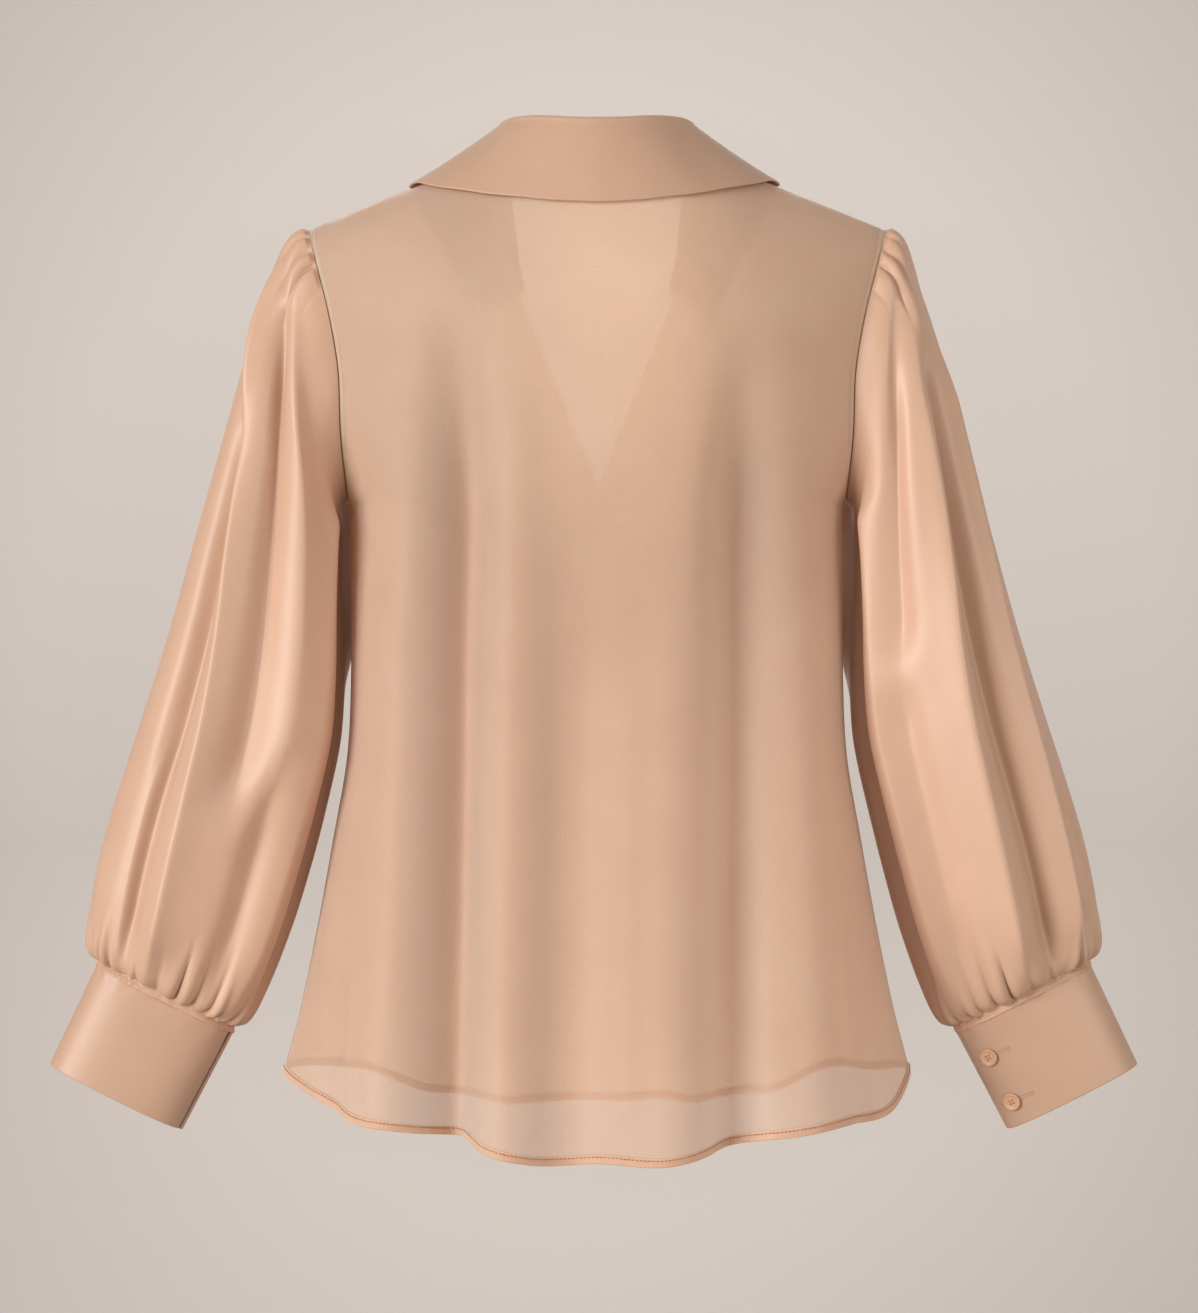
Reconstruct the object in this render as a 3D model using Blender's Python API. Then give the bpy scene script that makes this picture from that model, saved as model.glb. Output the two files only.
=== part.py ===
"""A long-sleeved popover blouse in light crepe, filled out as if worn, with nobody in it.

Metres, +Z up, the front faces -Y and the wearer's left is +X. The origin is the middle of the neck
opening, level with the inner ends of the two shoulder seams.

Every cloth piece is a wall made in the same way: a smooth form is worked out from the sizes below, its
folds are raised or sunk along the form's own normals, and the inside face lies one cloth thickness
further in along those same normals, so that a wall can't cross itself.
"""

import math
from collections import namedtuple

import bmesh
import bpy
import numpy as np
from mathutils import Matrix, Vector

# ------------------------------------------------------------------ cloth and seams
CLOTH = 0.0015
HEM_CLOTH = 0.0024
HEM_DEPTH = 0.006
HEM_STEP = 0.0015
COLLAR_CLOTH = 0.0016
CUFF_CLOTH = 0.0020
SEAM_GAP = 0.0003

# ------------------------------------------------------------------ body
NECK_HALF = 0.070
SHOULDER_HALF = 0.195
SHOULDER_DROP = 0.050
NECK_RISE = 0.012
BACK_NECK_DEPTH = 0.068
V_DEPTH = 0.222
V_STRAIGHT_HALF = 0.058
V_STRAIGHT_TOP = -0.0915
UNDERARM_Z = -0.235
ARMHOLE_HALF_DEPTH = 0.045
ARMHOLE_ROUND_TOP = -0.150
ARMHOLE_SOFT_FROM = -0.320
ARMHOLE_EDGE_POWER = 14
SECTION_POWER = 2.3
SIDE_ROUNDING = 0.45
ARMHOLE_ROUNDING = 0.90
ROUNDING_FROM, ROUNDING_TO = -0.360, -0.170
CENTRE_SPLIT_DROP = 0.110

Panel = namedtuple("Panel", "name facing cap_z")
BACK = Panel("back", 1, -0.125)
FRONT = Panel("front", -1, -0.150)

Section = namedtuple("Section", "z half_width front back")
BODY = (
    Section(-0.690, 0.2280, 0.154, 0.158),
    Section(-0.619, 0.2120, 0.146, 0.150),
    Section(-0.585, 0.2030, 0.140, 0.144),
    Section(-0.524, 0.1900, 0.130, 0.132),
    Section(-0.463, 0.1790, 0.120, 0.120),
    Section(-0.402, 0.1690, 0.113, 0.109),
    Section(-0.361, 0.1670, 0.111, 0.105),
    Section(-0.300, 0.1672, 0.112, 0.104),
    Section(-0.235, 0.1680, 0.114, 0.107),
    Section(-0.190, 0.1715, 0.114, 0.109),
    Section(-0.147, 0.1730, 0.112, 0.110),
    Section(-0.107, 0.1800, 0.110, 0.110),
    Section(-0.073, 0.1890, 0.108, 0.109),
    Section(-0.045, 0.1960, 0.108, 0.109),
)

Hem = namedtuple("Hem", "across back front")
HEM = (
    Hem(-1.00, -0.619, -0.619),
    Hem(-0.90, -0.640, -0.625),
    Hem(-0.77, -0.645, -0.625),
    Hem(-0.60, -0.651, -0.642),
    Hem(-0.42, -0.655, -0.648),
    Hem(-0.33, -0.662, -0.651),
    Hem(-0.22, -0.668, -0.653),
    Hem(0.00, -0.666, -0.655),
    Hem(0.20, -0.667, -0.654),
    Hem(0.31, -0.662, -0.652),
    Hem(0.43, -0.649, -0.648),
    Hem(0.58, -0.648, -0.642),
    Hem(0.73, -0.644, -0.630),
    Hem(0.85, -0.632, -0.624),
    Hem(1.00, -0.619, -0.619),
)

# A fold of the body runs from x_high at z_start down to x_low at the hem. A negative depth is a trough.
Fold = namedtuple("Fold", "x_high x_low half_width depth z_start")
FOLDS = {
    "back": (
        Fold(0.084, 0.095, 0.018, -0.0130, -0.150),
        Fold(-0.099, -0.091, 0.018, -0.0130, -0.140),
        Fold(0.002, 0.010, 0.022, -0.0050, -0.220),
        Fold(0.045, 0.055, 0.020, 0.0030, -0.180),
        Fold(-0.052, -0.046, 0.020, 0.0030, -0.200),
        Fold(0.126, 0.142, 0.018, 0.0030, -0.160),
        Fold(-0.140, -0.144, 0.020, 0.0030, -0.170),
        Fold(0.150, 0.177, 0.008, -0.0025, -0.380),
        Fold(-0.150, -0.183, 0.009, -0.0025, -0.400),
    ),
    "front": (
        Fold(0.060, 0.068, 0.019, -0.0085, -0.250),
        Fold(-0.066, -0.075, 0.018, -0.0090, -0.240),
        Fold(0.020, 0.010, 0.022, 0.0050, -0.270),
        Fold(0.110, 0.132, 0.019, -0.0070, -0.260),
        Fold(-0.112, -0.130, 0.020, -0.0065, -0.280),
        Fold(0.140, 0.160, 0.016, 0.0030, -0.300),
        Fold(-0.030, -0.038, 0.016, 0.0040, -0.290),
    ),
}
FOLD_FADE = 0.180
FOLD_FOOT_Z = -0.666
FOLD_DOWN_MAX = 1.2
HEM_FOLD_GAIN = 0.35
FOLD_SIDE_FADE = 0.12

NECK_COLUMNS = 7
SHOULDER_COLUMNS = 10
COLUMNS_SHIFT_FROM = 0.15
NORMAL_STEP = 0.001
V_EDGE_SAMPLES = 400
LOWER_ROWS = 8
UPPER_ROWS = 14

# ------------------------------------------------------------------ collar
# A collar station is given for one half: share runs along the neck seam from the back's middle to the
# collar's end. The fold stands in from the seam, off it to the back (y) and above it. The edge lies over
# the body, edge_x out from the middle and edge_angle round from the back to the front.
Station = namedtuple("Station", "share fold_in fold_y rise edge_x edge_angle bulge")
COLLAR = (
    Station(0.000, 0.0000, -0.0030, 0.0370, 0.0000, 37.0, 0.0015),
    Station(0.150, 0.0024, -0.0029, 0.0330, 0.0440, 41.0, 0.0012),
    Station(0.270, 0.0046, -0.0021, 0.0272, 0.0820, 50.0, 0.0008),
    Station(0.360, 0.0063, -0.0014, 0.0230, 0.1120, 66.5, 0.0000),
    Station(0.437, 0.0065, -0.0030, 0.0205, 0.1250, 88.0, -0.0006),
    Station(0.550, 0.0065, -0.0050, 0.0155, 0.1255, 98.0, 0.0000),
    Station(0.640, 0.0067, -0.0060, 0.0125, 0.1240, 108.0, 0.0020),
    Station(0.780, 0.0068, -0.0070, 0.0090, 0.1195, 124.0, 0.0050),
    Station(0.890, 0.0050, -0.0060, 0.0070, 0.1080, 142.0, 0.0060),
    Station(1.000, 0.0035, -0.0050, 0.0060, 0.0930, 163.0, 0.0060),
)
COLLAR_SEAM_LENGTH = 0.252
# The right half's outer edge lies this much closer in, which it reaches by this share of the collar.
COLLAR_RIGHT_IN = 0.0035
COLLAR_RIGHT_IN_BY = 0.30
# The stations are read this much further on at the centre, so that the two halves meet without a crease.
CENTRE_EASE = 0.030
EASED_COLUMNS = ("fold_y", "rise", "edge_angle", "bulge")
SEAM_SAMPLES = 201
COLLAR_STEPS = 16
COLLAR_SEAM_GAP = 0.0016
FOLD_RADIUS = 0.0034
FOLD_RADIUS_END = 0.0024
FOLD_BENDS = (math.radians(60), math.radians(120))
SEAM_REACH = 0.01
COLLAR_CLEARANCE = 0.0032
FALL_POINTS = 4

# ------------------------------------------------------------------ sleeves
# These are the left sleeve's sizes. The right one mirrors it.
# Each section's outer and inner ends, seen from the front, and half its depth from front to back.
Ring = namedtuple("Ring", "along outer_x outer_z inner_x inner_z half_depth")
SLEEVE = (
    Ring(0.000, 0.1955, -0.0500, 0.1684, -0.2350, 0.0450),
    Ring(0.025, 0.2050, -0.0550, 0.1716, -0.2385, 0.0480),
    Ring(0.065, 0.2165, -0.0735, 0.1730, -0.2430, 0.0505),
    Ring(0.115, 0.2272, -0.1010, 0.1736, -0.2490, 0.0525),
    Ring(0.180, 0.2385, -0.1380, 0.1740, -0.2600, 0.0540),
    Ring(0.275, 0.2530, -0.1900, 0.1740, -0.2820, 0.0550),
    Ring(0.385, 0.2700, -0.2500, 0.1730, -0.3150, 0.0555),
    Ring(0.520, 0.2900, -0.3220, 0.1715, -0.3580, 0.0565),
    Ring(0.625, 0.3080, -0.3790, 0.1730, -0.3950, 0.0575),
    Ring(0.715, 0.3230, -0.4250, 0.1810, -0.4340, 0.0570),
    Ring(0.800, 0.3355, -0.4680, 0.1930, -0.4810, 0.0545),
    Ring(0.870, 0.3425, -0.5030, 0.2080, -0.5280, 0.0500),
    Ring(0.920, 0.3440, -0.5220, 0.2215, -0.5600, 0.0440),
    Ring(0.965, 0.3425, -0.5360, 0.2360, -0.5850, 0.0360),
    Ring(1.000, 0.3362, -0.5455, 0.2484, -0.5897, 0.0250),
)
# The right sleeve hangs this much closer: its outer side from the head down, its inner side at the cuff.
RIGHT_SLEEVE_IN = 0.0045
OUTER_IN_BY = 0.10
INNER_IN_FROM = 0.75
# The front of the sleeve swells in past the body's side seam: by how much, round which angle, and how far.
UNDER_SWELL = {"left": 0.0142, "right": 0.0122}
UNDER_SWELL_ANGLE, UNDER_SWELL_WIDTH = 214.0, 22.0
UNDER_SWELL_IN, UNDER_SWELL_OUT = (0.03, 0.16), (0.40, 0.62)
ARMHOLE_SHIFT = 0.0007
ARMHOLE_BLEND = 0.16
SLEEVE_RINGS = 14

GATHERS_CUFF = 28
GATHERS_HEAD = 10
CUFF_GATHER_DEPTH = 0.0026
CUFF_GATHER_REACH = 0.17
HEAD_GATHER_DEPTH = 0.0028
HEAD_GATHER_REACH = 0.10
HEAD_GATHER_ARC = 75.0
GATHER_FULL_BY = 0.25
CUFF_GATHER_SWELL = 0.03
HEAD_GATHER_SWELL = 0.012
HEAD_GATHER_FADE = 0.7

# A sleeve fold runs from head_angle to cuff_angle round the sleeve: 0 outer, 90 back, 180 inner, 270 front.
# sweep says how soon it gets there, start and end how much of the sleeve's length it has.
SleeveFold = namedtuple("SleeveFold", "head_angle cuff_angle sweep start end width depth")
SLEEVE_FOLDS = {
    "left": (
        SleeveFold(5, 77, 0.25, 0.02, 1.00, 12, 0.0065),
        SleeveFold(20, 118, 0.10, 0.03, 0.80, 17, 0.0055),
        SleeveFold(30, 56, 0.30, 0.16, 0.99, 9, -0.0060),
        SleeveFold(15, 99, 0.14, 0.03, 0.78, 11, -0.0050),
        SleeveFold(30, 52, 0.50, 0.62, 1.00, 7, 0.0045),
        SleeveFold(120, 119, 0.50, 0.62, 1.00, 8, -0.0050),
        SleeveFold(350, 285, 0.20, 0.05, 1.00, 14, 0.0055),
        SleeveFold(330, 250, 0.15, 0.10, 0.90, 15, -0.0055),
        SleeveFold(300, 225, 0.15, 0.15, 0.80, 15, 0.0045),
        SleeveFold(330, 312, 0.30, 0.40, 1.00, 10, -0.0050),
    ),
    "right": (
        SleeveFold(25, 86, 0.30, 0.02, 1.00, 13, 0.0065),
        SleeveFold(28, 65, 0.20, 0.06, 1.00, 9, -0.0060),
        SleeveFold(12, 43, 0.50, 0.30, 1.00, 9, 0.0050),
        SleeveFold(20, 117, 0.10, 0.03, 0.55, 13, -0.0050),
        SleeveFold(110, 122, 0.50, 0.50, 1.00, 13, -0.0050),
        SleeveFold(20, 30, 0.50, 0.66, 1.00, 7, -0.0045),
        SleeveFold(345, 278, 0.20, 0.05, 1.00, 13, 0.0055),
        SleeveFold(330, 300, 0.20, 0.15, 1.00, 10, -0.0055),
        SleeveFold(310, 240, 0.15, 0.10, 0.85, 16, -0.0045),
        SleeveFold(300, 215, 0.15, 0.20, 0.80, 14, 0.0040),
    ),
}
FOLD_END_FADE = 0.12

# ------------------------------------------------------------------ cuffs and buttons
CUFF_TOP = (0.2925, -0.5690)
CUFF_TILT = 26.5
CUFF_LENGTH = 0.0750
CUFF_HALF_WIDTH = (0.0500, 0.0484)
CUFF_HALF_DEPTH = (0.0260, 0.0245)
CUFF_POWER = 2.5
CUFF_LIFT = 0.0024
CUFF_LIFT_RAMP = 55.0
CUFF_STEPS = 46
CUFF_ROWS = 2
SLEEVE_CUFF_GAP = 0.0004

# The outer layer of a cuff ends at end_angle and is wound on in the direction of turn.
CuffLap = namedtuple("CuffLap", "end_angle turn overlap button_angle")
CUFF_LAPS = {"left": CuffLap(168.0, 1, 62.0, 211.0), "right": CuffLap(159.0, -1, 42.0, 136.0)}

BUTTON_RADIUS = 0.0060
BUTTON_PLACES = (0.0243, 0.0580)
BUTTON_SIDES = 12
# The turns of the cuff, to each side of a button, that are searched for the highest point under it.
BUTTON_SPAN = 30.0
BUTTON_SAMPLES = 31
BUTTON_HOLE_RADIUS = 0.0008
BUTTON_HOLE_REACH = 0.0019
BUTTON_HOLE_SIDES = 4
ButtonRim = namedtuple("ButtonRim", "radius height")
BUTTON_PROFILE = (
    ButtonRim(0.0052, 0.0000),
    ButtonRim(0.0060, 0.0008),
    ButtonRim(0.0058, 0.0020),
    ButtonRim(0.0051, 0.0023),
    ButtonRim(0.0040, 0.0016),
)

# ------------------------------------------------------------------ finish
SHARP_FROM = math.radians(50)
CREPE = (0.700, 0.425, 0.290, 1.0)
SHEER_CREPE = (0.730, 0.470, 0.335, 1.0)
BUTTON_RESIN = (0.640, 0.370, 0.225, 1.0)


# ------------------------------------------------------------------ small tools
def smooth(low, high, value):
    """0 below low, 1 above high, and an even S between them."""
    part = np.clip((value - low) / (high - low), 0.0, 1.0)
    return part * part * (3.0 - 2.0 * part)


def read(rows, key, column, at):
    """A smooth curve through one column of a table, read wherever it is asked."""
    keys = np.array([getattr(row, key) for row in rows])
    values = np.array([getattr(row, column) for row in rows])
    slopes = np.gradient(values, keys)
    at = np.clip(np.asarray(at, float), keys[0], keys[-1])
    low = np.clip(np.searchsorted(keys, at) - 1, 0, len(keys) - 2)
    span = keys[low + 1] - keys[low]
    t = (at - keys[low]) / span
    from_low = (1 + 2 * t) * (1 - t) ** 2 * values[low] + t * (1 - t) ** 2 * span * slopes[low]
    from_high = t * t * (3 - 2 * t) * values[low + 1] + t * t * (t - 1) * span * slopes[low + 1]
    return from_low + from_high


def unit(vectors):
    return vectors / np.linalg.norm(vectors, axis=-1, keepdims=True)


def normals_of(grid, round_tube=False):
    """The normals of a grid of points: rows first, then columns, which close on themselves in a tube."""
    if round_tube:
        across = np.roll(grid, -1, axis=1) - np.roll(grid, 1, axis=1)
    else:
        across = np.gradient(grid, axis=1)
    return unit(np.cross(across, np.gradient(grid, axis=0)))


# ------------------------------------------------------------------ the body's form
def ridge_z(across):
    """The height of the shoulder line, carried on over the neck opening."""
    x = np.abs(across) * SHOULDER_HALF
    over_neck = NECK_RISE * (1 - (x / NECK_HALF) ** 2)
    slope = SHOULDER_DROP / (SHOULDER_HALF - NECK_HALF)
    return np.where(x < NECK_HALF, over_neck, -(x - NECK_HALF) * slope)


def armhole_depth(across, z):
    """How far a panel's side edge stands behind or before the side line: nothing below the underarm.

    Away from the edge the same depth comes in softly from further down, so that no crease runs across.
    """
    fall = np.clip((ARMHOLE_ROUND_TOP - z) / (ARMHOLE_ROUND_TOP - UNDERARM_Z), 0.0, 1.0)
    at_edge = np.sqrt(1 - fall * fall)
    inside = smooth(ARMHOLE_SOFT_FROM, ARMHOLE_ROUND_TOP, z)
    return ARMHOLE_HALF_DEPTH * (inside + (at_edge - inside) * np.abs(across) ** ARMHOLE_EDGE_POWER)


def depth_at(panel, across, z):
    edge = armhole_depth(across, z)
    full = read(BODY, "z", panel.name, z)
    blend = smooth(ROUNDING_FROM, ROUNDING_TO, z)
    rounding = SIDE_ROUNDING + (ARMHOLE_ROUNDING - SIDE_ROUNDING) * blend
    return edge + (full - edge) * (1 - np.abs(across) ** SECTION_POWER) ** rounding


def climb_of(panel, across, z):
    """A panel's own height scale: 0 where the cap over the shoulder starts, a quarter turn at the ridge."""
    share = (z - panel.cap_z) / (ridge_z(across) - panel.cap_z)
    return np.where(share < 0, share, np.arcsin(np.clip(share, 0.0, 1.0)))


def body_point(panel, across, climb):
    """A point of the body's smooth form. across runs from -1 at one side edge to 1 at the other."""
    cap = np.clip(climb, 0.0, None)
    rise = ridge_z(across) - panel.cap_z
    z = panel.cap_z + rise * np.where(climb < 0, climb, np.sin(cap))
    end_rise = -SHOULDER_DROP - panel.cap_z
    width_z = np.where(climb < 0, z, panel.cap_z + end_rise * np.sin(cap))
    depth = depth_at(panel, across, np.minimum(z, panel.cap_z)) * np.cos(cap)
    x = across * read(BODY, "z", "half_width", width_z)
    return np.stack([x, panel.facing * (depth + SEAM_GAP / 2), z], axis=-1)


def body_normal(panel, across, climb):
    """The outward normal of the smooth form."""
    here = body_point(panel, across, climb)
    inward = np.where(across > 0, -NORMAL_STEP, NORMAL_STEP)
    sideways = (body_point(panel, across + inward, climb) - here) * np.sign(inward)[..., None]
    upwards = here - body_point(panel, across, climb - NORMAL_STEP)
    return unit(np.cross(sideways, upwards)) * -panel.facing


def v_edge_z(x):
    """The height of the V neck's edge: straight up from its point, then turning up to the shoulder."""
    slope = (V_STRAIGHT_TOP + V_DEPTH) / V_STRAIGHT_HALF
    past = np.clip((x - V_STRAIGHT_HALF) / (NECK_HALF - V_STRAIGHT_HALF), 0.0, 1.0)
    straight = -V_DEPTH + slope * np.minimum(x, V_STRAIGHT_HALF)
    run_on = slope * (NECK_HALF - V_STRAIGHT_HALF)
    return straight + run_on * past - (V_STRAIGHT_TOP + run_on) * (1 - np.sqrt(1 - past * past))


def neck_x(panel, share):
    """How far out a neckline point stands: share is 0 in the middle and 1 at the shoulder seam."""
    if panel is BACK:
        return NECK_HALF * np.sin(share * math.pi / 2)
    lowest = (V_DEPTH + panel.cap_z) / panel.cap_z
    climb = lowest + (math.pi / 2 - lowest) * share
    z = panel.cap_z * (1 - np.where(climb < 0, climb, np.sin(climb)))
    x = NECK_HALF * np.sin(np.linspace(0, math.pi / 2, V_EDGE_SAMPLES))
    return np.interp(z, v_edge_z(x), x)


def neck_top(panel, across):
    """The climb at which a column of the panel ends: on the neckline, or else on the shoulder seam."""
    x = np.minimum(np.abs(across) * SHOULDER_HALF, NECK_HALF)
    if panel is BACK:
        depth = BACK_NECK_DEPTH * np.sqrt(1 - (x / NECK_HALF) ** 2)
        return np.arccos(depth / depth_at(panel, across, panel.cap_z))
    return np.where(x < NECK_HALF, climb_of(panel, across, v_edge_z(x)), math.pi / 2)


def body_folds(panel, x, z):
    """How far the cloth stands out from the smooth form at a point of a panel."""
    total = np.zeros_like(z)
    for fold in FOLDS[panel.name]:
        down = np.clip((fold.z_start - z) / (fold.z_start - FOLD_FOOT_Z), 0.0, FOLD_DOWN_MAX)
        middle = fold.x_high + (fold.x_low - fold.x_high) * down
        strength = smooth(0.0, FOLD_FADE, fold.z_start - z) * (1 + HEM_FOLD_GAIN * down)
        total = total + fold.depth * strength * np.exp(-(((x - middle) / fold.half_width) ** 2))
    return total


def both_sides(half):
    return np.concatenate([-half[:0:-1], half])


def top_columns(panel):
    """The across values of a panel's columns along its top edge, even along the neckline."""
    neck_share = NECK_HALF / SHOULDER_HALF
    neck = neck_x(panel, np.arange(NECK_COLUMNS + 1) / NECK_COLUMNS) / SHOULDER_HALF
    turns = np.arange(1, SHOULDER_COLUMNS + 1) / SHOULDER_COLUMNS * math.pi / 2
    return both_sides(np.concatenate([neck, neck_share + (1 - neck_share) * np.sin(turns)]))


def low_columns():
    """The across values of the same columns below the armholes, where the folds need them even."""
    columns = NECK_COLUMNS + SHOULDER_COLUMNS
    return both_sides(np.sin(np.arange(columns + 1) / columns * math.pi / 2))


def panel_rows(panel):
    """(across, climb) of a panel's points, hem first: straight up to the underarm, then even climbs."""
    low, top = low_columns(), top_columns(panel)
    hem_z = read(HEM, "across", panel.name, low)
    split_z = UNDERARM_Z - CENTRE_SPLIT_DROP * (1 - np.abs(low))
    first = hem_z + HEM_DEPTH
    steps = np.linspace(0.0, 1.0, LOWER_ROWS + 1)[:, None]
    above_hem = first + HEM_STEP + (split_z - first - HEM_STEP) * steps
    lower = climb_of(panel, low, np.vstack([hem_z[None], first[None], above_hem]))
    steps = np.linspace(0.0, 1.0, UPPER_ROWS + 1)[1:, None]
    upper = lower[-1] + (neck_top(panel, top) - lower[-1]) * steps
    shift = smooth(COLUMNS_SHIFT_FROM, 1.0, steps)
    across = np.vstack([np.broadcast_to(low, lower.shape), low + (top - low) * shift])
    return across, np.vstack([lower, upper])


def panel_grid(panel):
    """(form, normals, folds) of one panel."""
    across, climbs = panel_rows(panel)
    form = body_point(panel, across, climbs)
    normals = body_normal(panel, across, climbs)
    columns = NECK_COLUMNS + SHOULDER_COLUMNS
    on_shoulder = np.abs(np.arange(-columns, columns + 1)) >= NECK_COLUMNS
    on_side_seam = form[:, -1, 2] < UNDERARM_Z + SEAM_GAP
    for column in (0, -1):
        normals[on_side_seam, column, 1] = 0.0
    normals[-1, on_shoulder, 1] = 0.0
    edge_fade = smooth(0.0, FOLD_SIDE_FADE, 1 - np.abs(across))
    return form, unit(normals), body_folds(panel, form[..., 0], form[..., 2]) * edge_fade


# ------------------------------------------------------------------ meshes and objects
def finish_of(name, colour, roughness):
    """A plain material with the piece's own colour."""
    material = bpy.data.materials.get(name) or bpy.data.materials.new(name)
    material.use_nodes = True
    shader = material.node_tree.nodes["Principled BSDF"]
    shader.inputs["Base Color"].default_value = colour
    shader.inputs["Roughness"].default_value = roughness
    shader.inputs["Metallic"].default_value = 0.0
    return material


def place(name, mesh, material):
    thing = bpy.data.objects.new(name, mesh)
    if not mesh.materials:
        mesh.materials.append(material)
    mesh.shade_smooth()
    mesh.set_sharp_from_angle(angle=SHARP_FROM)
    bpy.context.scene.collection.objects.link(thing)
    return thing


def cloth_wall(name, outer, inner, material, round_tube=False):
    """One closed wall between two grids of points that match one to one."""
    rows, columns = outer.shape[:2]
    points = np.concatenate([outer.reshape(-1, 3), inner.reshape(-1, 3)])
    inside = rows * columns
    faces = []

    def at(row, column):
        return row * columns + column % columns

    def both_halves(a, b, c, d):
        faces.extend([(a, b, c), (a, c, d)])

    def span(a, b):
        return np.linalg.norm(points[a] - points[b])

    last_column = columns if round_tube else columns - 1
    for row in range(rows - 1):
        for column in range(last_column):
            a, b = at(row, column), at(row, column + 1)
            d, c = at(row + 1, column), at(row + 1, column + 1)
            halves = ((a, b, c), (a, c, d)) if span(a, c) < span(b, d) else ((a, b, d), (b, c, d))
            for half in halves:
                faces.append(half)
                faces.append(tuple(corner + inside for corner in half[::-1]))
    for column in range(last_column):
        a, b = at(0, column), at(0, column + 1)
        both_halves(a + inside, b + inside, b, a)
        a, b = at(rows - 1, column), at(rows - 1, column + 1)
        both_halves(a, b, b + inside, a + inside)
    if not round_tube:
        for row in range(rows - 1):
            a, b = at(row, 0), at(row + 1, 0)
            both_halves(a, b, b + inside, a + inside)
            a, b = at(row, columns - 1), at(row + 1, columns - 1)
            both_halves(a + inside, b + inside, b, a)
    mesh = bpy.data.meshes.new(name)
    mesh.from_pydata([tuple(point) for point in points], [], faces)
    outward = bmesh.new()
    outward.from_mesh(mesh)
    if outward.calc_volume(signed=True) < 0:
        bmesh.ops.reverse_faces(outward, faces=outward.faces)
    outward.to_mesh(mesh)
    outward.free()
    return place(name, mesh, material)


def make_panel(panel, material):
    """The front or the back, with its narrow rolled hem as a thicker strip of the same wall."""
    form, normals, folds = panel_grid(panel)
    thickness = np.full(folds.shape, CLOTH)
    thickness[:2] = HEM_CLOTH
    proud = (thickness - CLOTH) / 2
    outer = form + normals * (folds + proud)[..., None]
    inner = form + normals * (folds + proud - thickness)[..., None]
    return cloth_wall(panel.name, outer, inner, material)


# ------------------------------------------------------------------ collar
def neckline(turn):
    """A point of the neckline: turn is 0 at the back, 1 at the shoulder seam and 2 at the V's point."""
    panel = BACK if turn < 1 else FRONT
    across = np.array(neck_x(panel, min(turn, 2 - turn)) / SHOULDER_HALF)
    return body_point(panel, across, neck_top(panel, across))


def neck_seam():
    """Half of the neckline as a fine run of points, and how far along it each one lies."""
    points = np.array([neckline(turn) for turn in np.linspace(0, 2, SEAM_SAMPLES)])
    steps = np.linalg.norm(np.diff(points, axis=0), axis=1)
    return points, np.concatenate([[0.0], np.cumsum(steps)])


def along_seam(seam, share):
    """The point of the neck seam at a share of the collar's own length."""
    points, lengths = seam
    return np.array([np.interp(share * COLLAR_SEAM_LENGTH, lengths, points[:, axis]) for axis in range(3)])


def over_body(x, angle, lift):
    """A point that lies over the shoulders: angle is 90 on the shoulder line and grows to the front."""
    panel = BACK if angle <= 90 else FRONT
    climb = np.radians(angle if angle <= 90 else 180 - angle)
    across = np.array(x / SHOULDER_HALF)
    return body_point(panel, across, climb) + body_normal(panel, across, climb) * lift


def collar_section(seam, side, share):
    """One section of the collar, from the neck seam up the stand, over the fold and down the fall."""
    eased = share + CENTRE_EASE * math.exp(-share / CENTRE_EASE)
    fold_y, rise, edge_angle, bulge = (float(read(COLLAR, "share", column, eased)) for column in EASED_COLUMNS)
    fold_in, edge_x = (float(read(COLLAR, "share", column, share)) for column in ("fold_in", "edge_x"))
    if side == "right":
        edge_x -= COLLAR_RIGHT_IN * float(smooth(0.0, COLLAR_RIGHT_IN_BY, share))
    start = along_seam(seam, share)
    along = unit(along_seam(seam, share + SEAM_REACH) - along_seam(seam, max(share - SEAM_REACH, 0.0)))
    crown = start + (-fold_in, fold_y, rise)
    edge = over_body(edge_x, edge_angle, COLLAR_CLEARANCE)
    away = unit(crown - start - along * np.dot(crown - start, along))
    start = start + away * COLLAR_SEAM_GAP
    up = unit(crown - start)
    out = edge - crown
    out = unit(out - up * np.dot(out, up))
    radius = FOLD_RADIUS + (FOLD_RADIUS_END - FOLD_RADIUS) * share
    centre = crown - up * radius
    stand_top = centre - out * radius
    fall_top = centre + out * radius
    points = [start, (start + stand_top) / 2, stand_top]
    for bend in FOLD_BENDS:
        points.append(centre - out * radius * math.cos(bend) + up * radius * math.sin(bend))
    points.append(fall_top)
    lift = unit(np.cross(along, edge - fall_top))
    if np.dot(lift, out) < 0:
        lift = -lift
    for step in range(1, FALL_POINTS + 1):
        share = step / FALL_POINTS
        points.append(fall_top + (edge - fall_top) * share + lift * bulge * 4 * share * (1 - share))
    return np.array(points)


def make_collar(material):
    """The fold-over collar, round the back of the neck to a point on each side of the V."""
    seam = neck_seam()
    shares = np.arange(COLLAR_STEPS + 1) / COLLAR_STEPS
    left = [collar_section(seam, "left", share) for share in shares]
    right = [collar_section(seam, "right", share) * (-1, 1, 1) for share in shares[:0:-1]]
    face = np.array(right + left).transpose(1, 0, 2)
    normals = normals_of(face)
    if normals[-1, COLLAR_STEPS, 1] < 0:
        normals = -normals
    return cloth_wall("collar", face, face - normals * COLLAR_CLOTH, material)


# ------------------------------------------------------------------ sleeves
def mirrored(side):
    """What a left-hand point is multiplied by for this side."""
    return np.array([1 if side == "left" else -1, 1, 1])


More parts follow.
